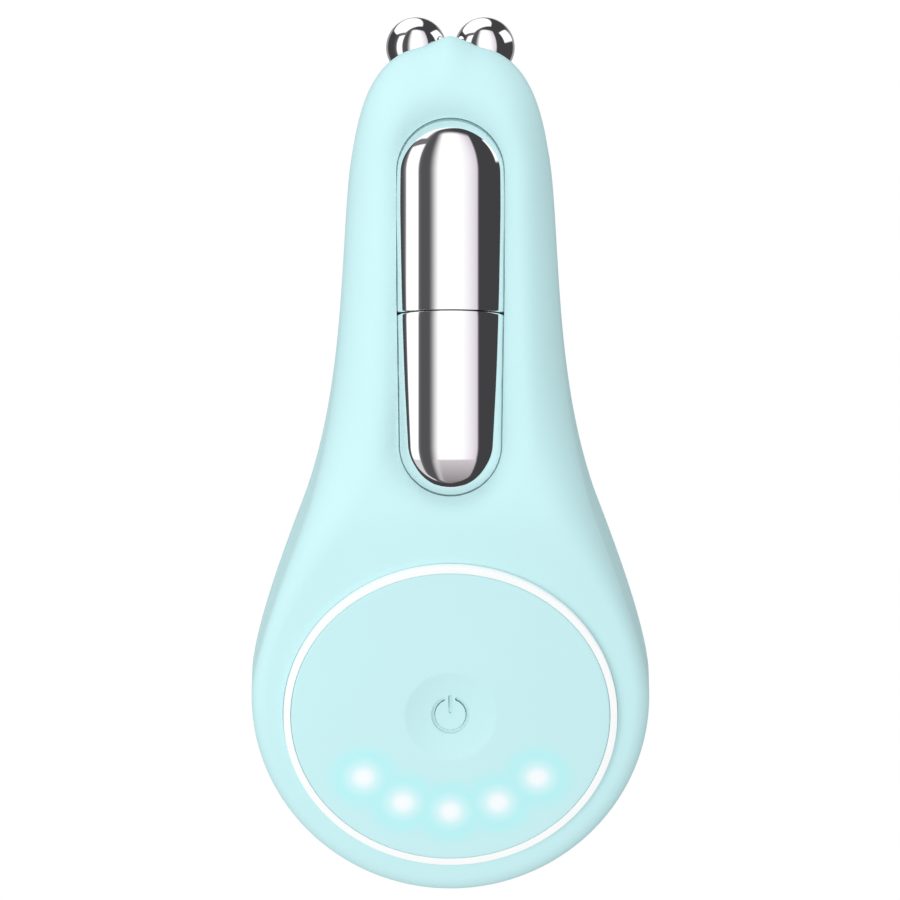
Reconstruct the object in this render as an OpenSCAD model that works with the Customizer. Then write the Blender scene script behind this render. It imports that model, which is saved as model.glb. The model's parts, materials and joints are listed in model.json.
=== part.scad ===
// Facial toning device: a hand-held body with a lit push disc, two neck electrodes and two ball
// electrodes. The device lies on its flat back: X is its width, +Y runs to the balls, +Z is its front.

/* [Body] */
// Width across the round base
base_w = 57; // [52:0.5:62]
// Distance from the lower end to the widest place
base_y = 29.9; // [29:0.1:32]
// Width where the flare of the base turns into the neck
waist_w = 41; // [40:0.1:42]
// Distance from the lower end to where the flare turns
waist_y = 57.6; // [56.6:0.1:58.6]
// How much each side closes in there, per millimetre of length
waist_slope = 0.332; // [0.31:0.002:0.35]
// Distance from the lower end to the middle of the grip
grip_y = 89; // [85:0.5:92]
// Distance from the lower end to the nose between the balls
nose_y = 124.6; // [122:0.2:130]
// Half width of the blunt nose
nose_x = 3.9; // [3.6:0.1:4.4]
// How far the nose stands ahead of its shoulders
nose_h = 1.53; // [1.4:0.01:1.7]
// Height of the face's lower edge above the back
edge_h = 13; // [12:0.2:15]
// Distance up the face from the light ring to the ridge between face and neck
ridge_gap = 6.97; // [6.5:0.01:8]
// Half length of the blend over the ridge
ridge_k = 5; // [3:0.5:6]
// Slope of the face towards the lower end, in degrees
face_tilt = 14.6; // [13:0.2:16]
// Height of the neck's crown above the back, at the nose
nose_z = 13.75; // [13:0.01:15]
// Thickness of both shells
wall = 2; // [1.6:0.1:2.2]
// Height of the joint between the shells
part_z = 9; // [8.6:0.1:9.6]
// Rounding along the back
back_r = 4; // [3:0.25:4.5]
// Lean of the end wall under the nose, in degrees
tip_slant = 30; // [25:1:34]

/* [Edge rounding] */
// Width of the rounded edge round the base
base_edge = 2.2; // [1.6:0.1:2.6]
// Width of the rounded edge along the neck
neck_edge_w = 9.5; // [8:0.5:11]
// Depth of the rounded edge along the neck
neck_edge_h = 8.5; // [7:0.5:9]
// Width of the rounded edge at the nose
tip_edge_w = 6; // [5:0.5:7]
// Depth of the rounded edge at the nose
tip_edge_h = 4.2; // [3.6:0.2:4.6]

/* [Face button] */
// Width of the land beside the light ring
rim_w = 4.57; // [4:0.01:5.4]
// Distance from the lower end to the light ring
rim_lo = 4.51; // [4:0.01:5]
// Thickness of the disc
disc_t = 1.8; // [1.6:0.1:2.2]
// How far the disc and its ring stand out of the face
disc_proud = 0.75; // [0.6:0.05:0.9]
// Travel of the disc
press = 0.35; // [0.25:0.05:0.4]
// Diameter of the finger dimple
dimple_d = 12.9; // [11:0.1:14]
// Depth of the finger dimple
dimple_h = 0.9; // [0.6:0.05:1.1]
// Radius of the power symbol
symbol_r = 2.3; // [2:0.1:2.8]
// Line width of the power symbol
symbol_w = 0.55; // [0.4:0.05:0.7]
// Depth of the power symbol
symbol_h = 0.25; // [0.15:0.05:0.3]

/* [Light ring] */
// Width of the lit face of the ring
ring_w = 1; // [0.8:0.1:1.2]
// Number of lamps under the ring
ring_lamps = 12; // [8:2:16]
// Number of level lamps under the disc
level_lamps = 5; // [3:2:5]
// Radius of the arc of level lamps
level_r = 16.95; // [16:0.05:17.5]
// Angle between two level lamps, in degrees
level_step = 23.7; // [22:0.1:25]
// Distance of the arc's centre from the disc's centre, towards the balls
level_up = 1.66; // [1.2:0.01:2]

/* [Neck electrodes] */
// Width of the two halves
pad_w = 15.5; // [14.5:0.1:16]
// Distance from the ridge to the lower half
pad_lo_gap = 3.51; // [3:0.01:4.5]
// Distance from the upper half to the nose
pad_hi_gap = 10.57; // [10.4:0.01:12]
// Height of the halves above their seam
pad_h = 3.8; // [3.4:0.1:4.4]
// Distance of the gap between the halves from the middle, towards the lower end
split_q = 0.7; // [0:0.1:1.4]
// Width of the gap between the halves
split_w = 0.3; // [0.3:0.05:0.8]
// Depth of the trough round the halves
trough_h = 1.4; // [1:0.1:1.6]
// Width of the trough
trough_w = 4.5; // [3.5:0.25:5]

/* [Ball electrodes] */
// Diameter of each ball
ball_d = 8.6; // [8:0.1:9]
// Distance between the two ball centres
ball_pitch = 9.8; // [9.6:0.1:10.2]
// How far the ball centres lie behind the nose
ball_back = 2.5; // [2:0.05:3]
// Height of the ball centres above the back
ball_z = 5.2; // [5:0.1:5.6]

/* [Inside] */
// Length, width and thickness of the battery
cell = [34, 26, 5.4]; // [20:0.5:36]
// Thickness of the pad under the battery
cell_pad_t = 0.8; // [0.5:0.1:1.2]
// Diameter of the motor
motor_d = 7; // [6:0.1:7.4]
// Length of the motor
motor_l = 12; // [10:0.5:13]
// Thickness of the circuit boards
board_t = 1; // [0.8:0.1:1.2]

/* [Fits] */
// Thickness of the seal between the shells
seam = 0.3; // [0.2:0.05:0.4]
// Clearance round a fixed piece
fit = 0.06; // [0.04:0.01:0.1]
// Running clearance round the disc and the shaft
slip = 0.08; // [0.05:0.01:0.1]

/* [Hidden] */

mint = "#C8EFF2";
milk = "#F4FFFF";
green = "#2F6B4A";
dark = "#33373B";
$fn = 48;

// How the outline and the rings of the shells are divided
arc_n = 10;
flare_n = 6;
shoulder_n = 15;
nose_n = 4;
edge_n = 8;
inner_edge_n = 3;
heart = 0.92;       // how far the innermost ring lies towards the spine

// Handles of the outline's curves
flare_in = 7.5;      // where the flare leaves the base
flare_out = 2.6;     // where it turns
neck_run = 28.6;     // where the neck leaves the flare
shoulder_run = 16.4; // where the shoulder arrives at the nose
nose_gable = 0.176;  // slope of the nose's two sides

function bez(a, b, c, d, t) =
    pow(1 - t, 3) * a + 3 * pow(1 - t, 2) * t * b + 3 * (1 - t) * t * t * c + pow(t, 3) * d;
function clamp(v, lo, hi) = min(hi, max(lo, v));
function smooth(t) = let (c = clamp(t, 0, 1)) c * c * (3 - 2 * c);

waist_point = [waist_w / 2, waist_y];
nose_point = [nose_x, nose_y - nose_h];
side = concat(
    [for (i = [0:arc_n - 1]) let (a = -90 + 90 * i / arc_n)
        [base_w / 2 * cos(a), base_y + base_y * sin(a)]],
    [for (i = [0:flare_n - 1]) bez(
        [base_w / 2, base_y],
        [base_w / 2, base_y + flare_in],
        waist_point + flare_out * [waist_slope, -1],
        waist_point, i / flare_n)],
    [for (i = [0:shoulder_n - 1]) bez(
        waist_point,
        waist_point + neck_run * [-waist_slope, 1],
        nose_point + shoulder_run * [1, -nose_gable],
        nose_point, pow(i / shoulder_n, 1.4))],
    [for (i = [0:nose_n]) bez(
        nose_point,
        nose_point + nose_x * nose_gable * [-1, nose_gable],
        [nose_x / 4, nose_y],
        [0, nose_y], i / nose_n)]
);
half_n = len(side) - 1;
loop_n = 2 * half_n;
outline = concat(side, [for (i = [half_n - 1:-1:1]) [-side[i].x, side[i].y]]);

// The line that every ring of a shell closes in on
spine_lo = grip_y - 9;
spine_hi = grip_y + 9;
function spine_y(y) =
    y <= base_y ? base_y :
    y < spine_lo ? let (q = (y - base_y) / (spine_lo - base_y))
        base_y + (spine_lo - base_y) * (2 * q * q - pow(q, 3)) :
    y < spine_hi ? y :
    let (q = (y - spine_hi) / (nose_y - spine_hi))
        spine_hi + (nose_y - spine_hi) * (q - q * q + pow(q, 3) / 3);

// Half width of the body at a distance from the lower end
side_table = [for (p = side) [p.y, p.x]];
function half_width(y) = lookup(y, side_table);

// Width and depth of the rounded front edge
edge_from = base_y + 7.3;
tip_from = grip_y + 10;
function neck_share(y) = smooth((y - edge_from) / (spine_lo - edge_from));
function tip_share(y) = smooth((y - tip_from) / (nose_y - tip_from - 4));
function edge_w(y) = base_edge + (neck_edge_w - base_edge) * neck_share(y)
    + (tip_edge_w - neck_edge_w) * tip_share(y);
function edge_d(y) = base_edge + (neck_edge_h - base_edge) * neck_share(y)
    + (tip_edge_h - neck_edge_h) * tip_share(y);

// The round face: its disc, its ring and its middle, and the ridge above it
disc_d = base_w - 2 * (rim_w + ring_w + slip);
disc_r = disc_d / 2;
ring_in = disc_r + slip;
ring_out = ring_in + ring_w;
face_y = rim_lo + ring_out * cos(face_tilt);
ridge_y = face_y + (ring_out + ridge_gap) * cos(face_tilt);

// Height of the front along its middle: the face plane, the neck plane and their blend
rise = tan(face_tilt);
ridge_z = edge_h + ridge_y * rise;
fall = (ridge_z - nose_z) / (nose_y - ridge_y);
neck_tilt = atan(fall);
function crown(y) = let (d = y - ridge_y)
    ridge_z + (rise - fall) / 2 * d - (rise + fall) / 2 * norm([d, ridge_k]);

// The shallow trough round the neck electrodes
pad_lo = ridge_y + pad_lo_gap;
pad_hi = nose_y - pad_hi_gap;
pad_y = (pad_lo + pad_hi) / 2;
pad_l = (pad_hi - pad_lo) / cos(neck_tilt);
pad_r = pad_w / 2;
pad_run = pad_l - pad_w;
pad_z = ridge_z - (pad_y - ridge_y) * fall;
function pad_distance(x, y) =
    norm([x, max(abs(y - pad_y) / cos(neck_tilt) - pad_run / 2, 0)]) - pad_r;
function trough(x, y) = trough_h * pow(1 - clamp(pad_distance(x, y) / trough_w, 0, 1), 2);
function front_z(x, y) = crown(y) - trough(x, y);

// A point on ray i, a distance in from the outline
function ray(i) = let (o = outline[i], s = [0, spine_y(o.y)]) (s - o) / norm(s - o);
function ray_length(i) = norm([0, spine_y(outline[i].y)] - outline[i]);
function inward(i, inset) = outline[i] + ray(i) * inset;

// One ring of the front surface, sunk by a depth: q climbs the rounded edge, g goes on to the spine
function front_ring(q, g, sunk) = [for (i = [0:loop_n - 1]) let (
    y = outline[i].y,
    w = max(edge_w(y) - sunk, 0.6),
    d = max(edge_d(y) - sunk, 0.6),
    p = inward(i, sunk + w * (1 - cos(90 * q)) + g * (ray_length(i) - sunk - w))
) [p.x, p.y, front_z(p.x, p.y) - sunk - d * (1 - sin(90 * q))]];

// One level ring below the joint, where the end wall under the nose leans back
slant_from = nose_y - 24;
function lean(p) = [p.x,
    p.y - tan(tip_slant) * max(part_z - p.z, 0) * smooth((p.y - slant_from) / (nose_y - slant_from - 4)),
    p.z];
function level_ring(inset, z) = [for (i = [0:loop_n - 1]) let (p = inward(i, inset)) lean([p.x, p.y, z])];
function deep_ring(inset, g, z) = [for (i = [0:loop_n - 1])
    let (p = inward(i, inset + g * (ray_length(i) - inset))) lean([p.x, p.y, z])];

// A closed solid through rings of loop_n points, with a cap on each end or joined end to end
module ring_solid(rings, joined = false) {
    count = len(rings);
    sides = [for (r = [0:(joined ? count - 1 : count - 2)], i = [0:loop_n - 1]) let (
        a = r * loop_n, b = (r + 1) % count * loop_n, j = (i + 1) % loop_n
    ) each [[a + i, b + i, b + j], [a + i, b + j, a + j]]];
    first = [for (i = [0:half_n - 1]) let (m = loop_n - i) each
        i == 0 ? [[0, 1, loop_n - 1]] :
        i == half_n - 1 ? [[i, i + 1, m]] :
        [[i, i + 1, m - 1], [i, m - 1, m]]];
    last = [for (f = first) [for (v = [2:-1:0]) f[v] + (count - 1) * loop_n]];
    polyhedron([for (r = rings) each r], joined ? sides : concat(first, sides, last), convexity = 6);
}

// Frames of the face and of the neck: their own +Y runs up the body, their own +Z points out
face_z = edge_h + face_y * rise;
module on_face() translate([0, face_y, face_z]) rotate([face_tilt, 0, 0]) children();
module on_neck() translate([0, pad_y, pad_z]) rotate([-neck_tilt, 0, 0]) children();
module polar(n, r, step, start = 0)
    for (i = [0:n - 1]) rotate([0, 0, start + i * step]) translate([r, 0, 0]) children();

// The whole length, with the origin under its middle
ball_r = ball_d / 2;
ball_y = nose_y - ball_back;
whole_l = max(ball_y + ball_r, nose_y);
module placed() translate([0, -whole_l / 2, 0]) children();

// A plate with rounded corners, a capsule outline and a tube
module round_rect(x, y, r) {
    square([x - 2 * r, y], center = true);
    square([x, y - 2 * r], center = true);
    for (i = [-1, 1], j = [-1, 1]) translate([i * (x / 2 - r), j * (y / 2 - r)]) circle(r);
}
module capsule(l, w) {
    square([w, l - w], center = true);
    for (j = [-1, 1]) translate([0, j * (l - w) / 2]) circle(d = w);
}
module tube(r_out, r_in, h) difference() {
    cylinder(r = r_out, h = h);
    translate([0, 0, -1]) cylinder(r = r_in, h = h + 2);
}

// A thin lead along a list of points, as one closed sweep
lead_r = 0.5;
lead_sides = 6;
function lead_dir(p, i) = let (
    a = p[max(i - 1, 0)], b = p[min(i + 1, len(p) - 1)]) (b - a) / norm(b - a);
function lead_ring(p, i) = let (
    t = lead_dir(p, i),
    u = cross(t, [1, 0, 0.01]), n = u / norm(u), m = cross(t, n)
) [for (k = [0:lead_sides - 1]) let (a = 360 * k / lead_sides) p[i] + lead_r * (cos(a) * n + sin(a) * m)];
module lead(p) {
    n = len(p);
    polyhedron(
        [for (i = [0:n - 1]) each lead_ring(p, i)],
        concat(
            [[for (k = [lead_sides - 1:-1:0]) k]],
            [for (i = [0:n - 2], k = [0:lead_sides - 1]) let (j = (k + 1) % lead_sides)
                each [[i * lead_sides + k, i * lead_sides + j, (i + 1) * lead_sides + j],
                      [i * lead_sides + k, (i + 1) * lead_sides + j, (i + 1) * lead_sides + k]]],
            [[for (k = [0:lead_sides - 1]) (n - 1) * lead_sides + k]]
        ));
}

// Heights in the face frame
ring_step = 0.5;                         // how much wider the ring's bore is below its ledge
ledge_n = disc_proud - disc_t - 0.5;      // underside of the ring's ledge
disc_foot = ledge_n - slip - 0.9;         // underside of the disc's lip
baffle_n = disc_foot - press - 0.15;      // top of the baffle's plate
ring_foot = baffle_n;                     // underside of the ring
board_n = baffle_n - 1.9;                 // top of the face board
board_r = ring_out + 0.6;
flange_r = ring_out + 0.6;
stem_r = 1.6;
stem_top = disc_proud - disc_t - 1;       // where the disc's plunger meets the switch stem
switch_h = 2;
board_boss_x = 9.5;
board_boss_p = ring_out + ridge_gap - 3.7; // its bosses lie between the ring and the ridge
board_boss_r = 2;
board_tab_w = 2 * (board_boss_x + board_boss_r + 0.5);
board_tab_l = board_boss_p + board_boss_r + 0.8;
board_screw_r = 0.8;

// Heights in the neck frame
seat_m = -trough_h;                       // level of the seam round the electrodes
skirt = 1.2;                              // how far the electrodes reach below their seam
pad_wall = 0.9;
collar_m = seat_m - wall - 0.2;           // underside of the shell's collar
collar_t = 1.1;
collar_h = 0.8;                           // its height, which ends inside the shell's wall
carrier_t = 1.4;
carrier_m = collar_m - carrier_t;         // underside of the carrier's plate
driver_m = carrier_m - 2.4;               // top of the driver board
driver_w = pad_w + 1.5;
driver_lo = 3.1 - pad_l / 2;
driver_hi = pad_l / 2 - 20.1;
boss_r = 1.8;
boss_q = [4 - split_q, driver_lo + 10];   // contact bosses of the upper and lower electrode
leg_x = 6.6;
leg_q = [driver_lo + 4, driver_hi - 11];
leg_r = 1.1;

// Places inside the back
plug_r = 2.1;
screw_y = ridge_y - 4;
screw_x = half_width(screw_y) - back_r - plug_r - 0.1;
screw_boss_r = 2.2;
post_r = 3.2;                             // posts of the back shell round its screws
screw_r = 1;
plug_t = 1;
head_z = 2.6;                             // where a screw's head seats
tip_screw_y = nose_y - 12.8;
holder_y = nose_y - 16.4;
stud_r = 1.2;
nut_t = 2;
socket = [9, 7.4, 3.2];
socket_r = 1.5;
charge_z = 3.6;
charge_w = 12;
charge_y = wall + 1.3;                    // near end of the charging board
charge_l = 8;
cell_y = charge_y + charge_l + 0.7 + cell.x / 2;
weight_l = 4;
motor_y = holder_y - nut_t - 1.2 - weight_l - 0.8 - motor_l;
motor_z = wall + motor_d / 2 + 0.9;
weight_r = motor_d / 2 - 0.4;
shaft_r = 0.5;

// ---------------------------------------------------------------- shells

module front_skin() ring_solid(concat(
    [front_ring(1, heart, wall), front_ring(1, 0.6, wall), front_ring(1, 0.25, wall)],
    [for (k = [inner_edge_n:-1:0]) front_ring(k / inner_edge_n, 0, wall)],
    [level_ring(wall, part_z + seam / 2), level_ring(0, part_z + seam / 2)],
    [for (k = [0:edge_n]) front_ring(k / edge_n, 0, 0)],
    [front_ring(1, 0.25, 0), front_ring(1, 0.6, 0), front_ring(1, heart, 0)]
));

module front_shell() color(mint) placed() difference() {
    union() {
        front_skin();
        on_neck() translate([0, 0, collar_m]) linear_extrude(collar_h) difference() {
            capsule(pad_l + 2 * (fit + collar_t), pad_w + 2 * (fit + collar_t));
            capsule(pad_l + 2 * fit, pad_w + 2 * fit);
        }
        on_face() for (x = [-1, 1]) translate([x * board_boss_x, board_boss_p, board_n])
            cylinder(r = board_boss_r, h = -board_n - wall / 2 - 0.8);
        for (x = [-1, 1]) translate([x * screw_x, screw_y, part_z + 2])
            cylinder(r = screw_boss_r, h = front_z(screw_x, screw_y) - part_z - 2 - wall * 0.8);
    }
    on_face() translate([0, 0, -6]) cylinder(r = ring_out + fit, h = 12);
    on_neck() translate([0, 0, collar_m - 1]) linear_extrude(12) capsule(pad_l + 2 * fit, pad_w + 2 * fit);
    on_face() for (x = [-1, 1]) translate([x * board_boss_x, board_boss_p, board_n - 1])
        cylinder(r = board_screw_r, h = 4);
    for (x = [-1, 1]) translate([x * screw_x, screw_y, part_z + 1]) cylinder(r = screw_r, h = 7);
    for (x = [-1, 1]) translate([x * ball_pitch / 2, ball_y, ball_z]) sphere(ball_r + 0.15);
}

lip_h = 0.9;
lip_t = 1;
module back_skin() ring_solid(concat(
    [for (k = [0:4]) level_ring(back_r * (1 - sin(22.5 * k)), back_r * (1 - cos(22.5 * k)))],
    [
        level_ring(0, part_z - seam / 2),
        level_ring(wall + fit, part_z - seam / 2),
        level_ring(wall + fit, part_z + lip_h),
        level_ring(wall + fit + lip_t, part_z + lip_h),
        level_ring(wall + lip_t, part_z - 2),
        level_ring(wall, part_z - 3),
        level_ring(wall, wall + 1.5),
        level_ring(wall + 1.5, wall),
        deep_ring(wall + 1.5, 0.5, wall),
        deep_ring(wall + 1.5, heart, wall)
    ]
));

module screw_places() {
    for (x = [-1, 1]) translate([x * screw_x, screw_y, 0]) children();
    translate([0, tip_screw_y, 0]) children();
}

module back_shell() color(mint) placed() difference() {
    union() {
        back_skin();
        for (x = [-1, 1]) translate([x * screw_x, screw_y, wall / 2])
            cylinder(r = post_r, h = part_z + 2 - wall / 2);
        translate([0, tip_screw_y, wall / 2]) cylinder(r = post_r, h = head_z + 1.2 - wall / 2);
        for (x = [-1, 1]) {
            translate([x * (cell.y / 2 + 0.9) - 0.6, cell_y - 8, wall / 2]) cube([1.2, 16, wall / 2 + 3.4]);
            translate([x * (charge_w / 2 - 1) - 0.8, wall + 0.2, wall / 2])
                cube([1.6, charge_y + charge_l - wall - 1.2, charge_z - wall / 2]);
        }
    }
    screw_places() {
        translate([0, 0, -1]) cylinder(r = plug_r + fit, h = head_z + 1);
        cylinder(r = screw_r + 0.15, h = part_z + 4);
    }
    translate([0, -1, charge_z + board_t + socket.z / 2]) rotate([-90, 0, 0]) linear_extrude(5)
        round_rect(socket.x + 0.4, socket.z + 0.4, socket_r);
    for (x = [-1, 1]) translate([x * ball_pitch / 2, ball_y, ball_z]) {
        sphere(ball_r + 0.15);
        rotate([90, 0, 0]) cylinder(r = stud_r + 0.2, h = ball_r + 4);
    }
}

module shell_gasket() color("#9CC9CC") placed() difference() {
    ring_solid([
        level_ring(0.35, part_z - seam / 2),
        level_ring(0.35, part_z + seam / 2),
        level_ring(wall - 0.1, part_z + seam / 2),
        level_ring(wall - 0.1, part_z - seam / 2)
    ], joined = true);
    for (x = [-1, 1]) translate([x * ball_pitch / 2, ball_y, ball_z]) sphere(ball_r + 0.25);
}

module shell_screws() color("silver") placed() {
    for (x = [-1, 1]) translate([x * screw_x, screw_y, head_z]) screw(part_z + 2 - head_z + 4, screw_r);
    translate([0, tip_screw_y, head_z]) screw(5.2, screw_r);
}
module screw(l, r) {
    cylinder(r = r, h = l);
    difference() {
        translate([0, 0, -1.2]) cylinder(r = 2 * r, h = 1.2);
        for (a = [0, 90]) rotate([0, 0, a]) translate([-1.1 * r, -0.2, -1.3]) cube([2.2 * r, 0.4, 0.7]);
    }
}

module screw_plugs() color("#BEE6E9") placed() screw_places() {
    translate([0, 0, 0.15]) cylinder(r = plug_r, h = plug_t);
}

// ---------------------------------------------------------------- face

dimple_r = dimple_d / 2;
dimple_curve = (dimple_r * dimple_r + dimple_h * dimple_h) / (2 * dimple_h);
function dimple_n(r) = disc_proud - dimple_h + dimple_curve - sqrt(pow(dimple_curve, 2) - r * r);
disc_round = 0.25;

module push_disc() color(mint) placed() on_face() difference() {
    union() {
        rotate_extrude() polygon(concat(
            [for (k = [0:8]) [dimple_r * k / 8, dimple_n(dimple_r * k / 8)]],
            [for (a = [90:-30:0])
                [disc_r - disc_round * (1 - cos(a)), disc_proud - disc_round * (1 - sin(a))]],
            [
                [disc_r, disc_foot + 0.9],
                [disc_r + ring_step - slip, disc_foot + 0.9],
                [disc_r + ring_step - slip, disc_foot],
                [disc_r - 1.1, disc_foot],
                [disc_r - 1.1, disc_proud - disc_t],
                [0, disc_proud - disc_t]
            ]
        ));
        translate([0, 0, stem_top]) cylinder(r = 2, h = disc_proud - disc_t - stem_top + 0.2);
    }
    translate([0, 0, dimple_n(symbol_r) - symbol_h]) linear_extrude(2) power_symbol();
}

symbol_gap = 24;    // half angle of the opening in the symbol's circle
module power_symbol() {
    difference() {
        circle(symbol_r + symbol_w / 2);
        circle(symbol_r - symbol_w / 2);
        polygon(concat([[0, 0]], [for (a = symbol_gap * [-1, 1]) 2 * symbol_r * [sin(a), cos(a)]]));
    }
    translate([-symbol_w / 2, 0.1]) square([symbol_w, symbol_r + 0.25]);
}

module light_ring() color(milk) placed() on_face() rotate_extrude() polygon([
    [ring_in, disc_proud - 0.1], [ring_in + 0.1, disc_proud],
    [ring_out - 0.1, disc_proud], [ring_out, disc_proud - 0.1],
    [ring_out, -wall - 0.6], [flange_r, -wall - 0.6],
    [flange_r, ring_foot], [ring_in + ring_step, ring_foot],
    [ring_in + ring_step, ledge_n], [ring_in, ledge_n]
]);

module level_places() translate([0, level_up, 0])
    polar(level_lamps, level_r, level_step, -90 - level_step * (level_lamps - 1) / 2) children();
module ring_places() polar(ring_lamps, ring_out - 0.5, 360 / ring_lamps, 15) children();

module lamp_baffle() color("white") placed() on_face() difference() {
    union() {
        translate([0, 0, board_n]) cylinder(r = board_r - 0.1, h = baffle_n - board_n);
        level_places() translate([0, 0, baffle_n - 0.1])
            cylinder(r = 1.9, h = disc_proud - disc_t - press - 0.15 - baffle_n + 0.1);
    }
    translate([0, 0, board_n - 1]) cylinder(r = 4.6, h = 6);
    level_places() translate([0, 0, board_n - 1]) cylinder(r = 1.3, h = 8);
    ring_places() translate([0, 0, board_n - 1]) cylinder(r = 0.9, h = 8);
}

module board_outline() {
    circle(board_r);
    translate([-board_tab_w / 2, 0]) square([board_tab_w, board_tab_l]);
}

module face_board() color(green) placed() on_face() difference() {
    translate([0, 0, board_n - board_t]) linear_extrude(board_t) board_outline();
    for (x = [-1, 1]) translate([x * board_boss_x, board_boss_p, board_n - board_t - 1])
        cylinder(r = board_screw_r + 0.1, h = board_t + 2);
}

module chip(x, y, h) translate([-x / 2, -y / 2, 0]) cube([x, y, h]);

module level_lamps() color("#E6FFFF") placed() on_face() level_places()
    translate([0, 0, board_n]) chip(1.6, 1.6, 0.8);
module ring_lamps() color("white") placed() on_face() ring_places()
    translate([0, 0, board_n]) chip(1, 1, 0.7);

module tact_switch() color(dark) placed() on_face() difference() {
    translate([0, 0, board_n]) chip(6, 6, switch_h);
    translate([0, 0, board_n + 0.4]) cylinder(r = stem_r + slip, h = switch_h);
}
stem_foot = board_n + 0.4 + press + 0.15;
module switch_stem() color("#E8E2D0") placed() on_face()
    translate([0, 0, stem_foot]) cylinder(r = stem_r, h = stem_top - stem_foot);

module under(top) translate([0, 0, top]) mirror([0, 0, 1]) children();
module face_board_parts() color(dark) placed() on_face() under(board_n - board_t) {
    translate([-5, 6, 0]) chip(7, 7, 0.9);
    translate([6, 8, 0]) chip(4, 5, 1.1);
    translate([10, -3, 0]) chip(3, 6, 1.2);
    translate([0, board_tab_l - 6, 0]) chip(cable_w + 2, 3.4, 1);
    for (i = [0:5]) translate([-14 + 2.4 * i, 15, 0]) chip(1.2, 0.7, 0.5);
}

module board_screws() color("silver") placed() on_face() for (x = [-1, 1])
    translate([x * board_boss_x, board_boss_p, board_n - board_t]) screw(board_t + 2.4, board_screw_r);

// ---------------------------------------------------------------- neck

// An electrode's cross-section: a circular arch over an upright skirt
arch_n = 8;
function arch(r, h, from, to) = let (arc = (r * r + h * h) / (2 * h), half = asin(r / arc))
    [for (k = [from:to]) let (a = half * k / arch_n) [arc * sin(a), seat_m + h - arc * (1 - cos(a))]];
function arch_half(r, h, foot) = concat([[0, foot]], arch(r, h, 0, arch_n), [[r, foot]]);
function arch_full(r, h, foot) = concat([[-r, foot]], arch(r, h, -arch_n, arch_n), [[r, foot]]);

module dome(r, h, foot, run) {
    translate([0, run, 0]) rotate([90, 0, 0]) linear_extrude(run) polygon(arch_full(r, h, foot));
    translate([0, run, 0]) rotate_extrude(angle = 180) polygon(arch_half(r, h, foot));
}
module electrode(run, boss_at) {
    difference() {
        dome(pad_r, pad_h, seat_m - skirt, run);
        translate([0, pad_wall, -0.01])
            dome(pad_r - pad_wall, pad_h - pad_wall, seat_m - skirt - 1, run - pad_wall);
    }
    translate([0, boss_at, carrier_m + 0.2])
        cylinder(r = boss_r, h = seat_m + pad_h - pad_wall / 2 - carrier_m - 0.2);
}
upper_run = pad_run / 2 + split_q - split_w / 2;
lower_run = pad_run / 2 - split_q - split_w / 2;

module upper_electrode() color("#C9CBD0") placed() on_neck()
    translate([0, split_w / 2 - split_q, 0]) electrode(upper_run, boss_q[0] + split_q - split_w / 2);
module lower_electrode() color("#C9CBD0") placed() on_neck() rotate([0, 0, 180])
    translate([0, split_q + split_w / 2, 0]) electrode(lower_run, -boss_q[1] - split_q - split_w / 2);

module electrode_carrier() color(dark) placed() on_neck() difference() {
    union() {
        translate([0, 0, carrier_m]) linear_extrude(carrier_t)
            capsule(pad_l + 2 * (fit + collar_t) - 0.6, pad_w + 2 * (fit + collar_t) - 0.6);
        translate([0, 0, carrier_m]) linear_extrude(seat_m - skirt - carrier_m)
            capsule(pad_l - 0.1, pad_w - 0.1);
        translate([0, -split_q + split_w / 4, 0]) rotate([90, 0, 0]) linear_extrude(split_w / 2)
            polygon(arch_full(pad_r - 0.5, pad_h - 0.5, carrier_m));
        for (x = [-1, 1], q = leg_q) translate([x * leg_x, q, driver_m])
            cylinder(r = leg_r, h = carrier_m - driver_m + 0.5);
    }
    for (q = boss_q) translate([0, q, carrier_m - 1]) cylinder(r = boss_r + fit, h = 6);
}

module driver_board() color(green) placed() on_neck()
    translate([0, (driver_lo + driver_hi) / 2, driver_m - board_t]) linear_extrude(board_t)
        round_rect(driver_w, driver_hi - driver_lo, 1.5);

module driver_parts() color(dark) placed() on_neck() under(driver_m - board_t) {
    translate([-3, driver_lo + 12, 0]) cylinder(r = 3, h = 2.6);
    translate([4.5, driver_lo + 11, 0]) chip(5, 5, 0.9);
    translate([0, driver_lo + 4, 0]) chip(cable_w, 3.4, 1.2);
    for (i = [0:4]) translate([-5 + 2.4 * i, driver_hi - 1.6, 0]) chip(0.8, 1.4, 0.5);
}

module contact_pins() color("gold") placed() on_neck() for (q = boss_q)
    translate([0, q, driver_m]) cylinder(r = 0.9, h = carrier_m + 0.2 - driver_m);

// The flat cable runs from the face board's tab to the driver board
cable_w = 8;
cable_t = 0.2;
function turned(p, a) = [p.x * cos(a) - p.y * sin(a), p.x * sin(a) + p.y * cos(a)];
function face_yz(p, n) = [face_y, face_z] + turned([p, n], face_tilt);
function neck_yz(q, m) = [pad_y, pad_z] + turned([q, m], -neck_tilt);
module flex_cable() color("#B8742C") placed() {
    a = face_yz(board_tab_l - 3, board_n - board_t);
    b = face_yz(board_tab_l - 0.5, board_n - board_t);
    c = neck_yz(driver_lo + 0.5, driver_m - board_t);
    d = neck_yz(driver_lo + 2.2, driver_m - board_t);
    sag = [(b.x + c.x) / 2, min(b.y, c.y) - 1.6];
    line = [a, b, sag, c, d];
    translate([cable_w / 2, 0, 0]) rotate([0, -90, 0]) linear_extrude(cable_w) polygon(concat(
        [for (p = line) [p.y, p.x]],
        [for (i = [4:-1:0]) [line[i].y - cable_t, line[i].x]]
    ));
}

// ---------------------------------------------------------------- tip

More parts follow.
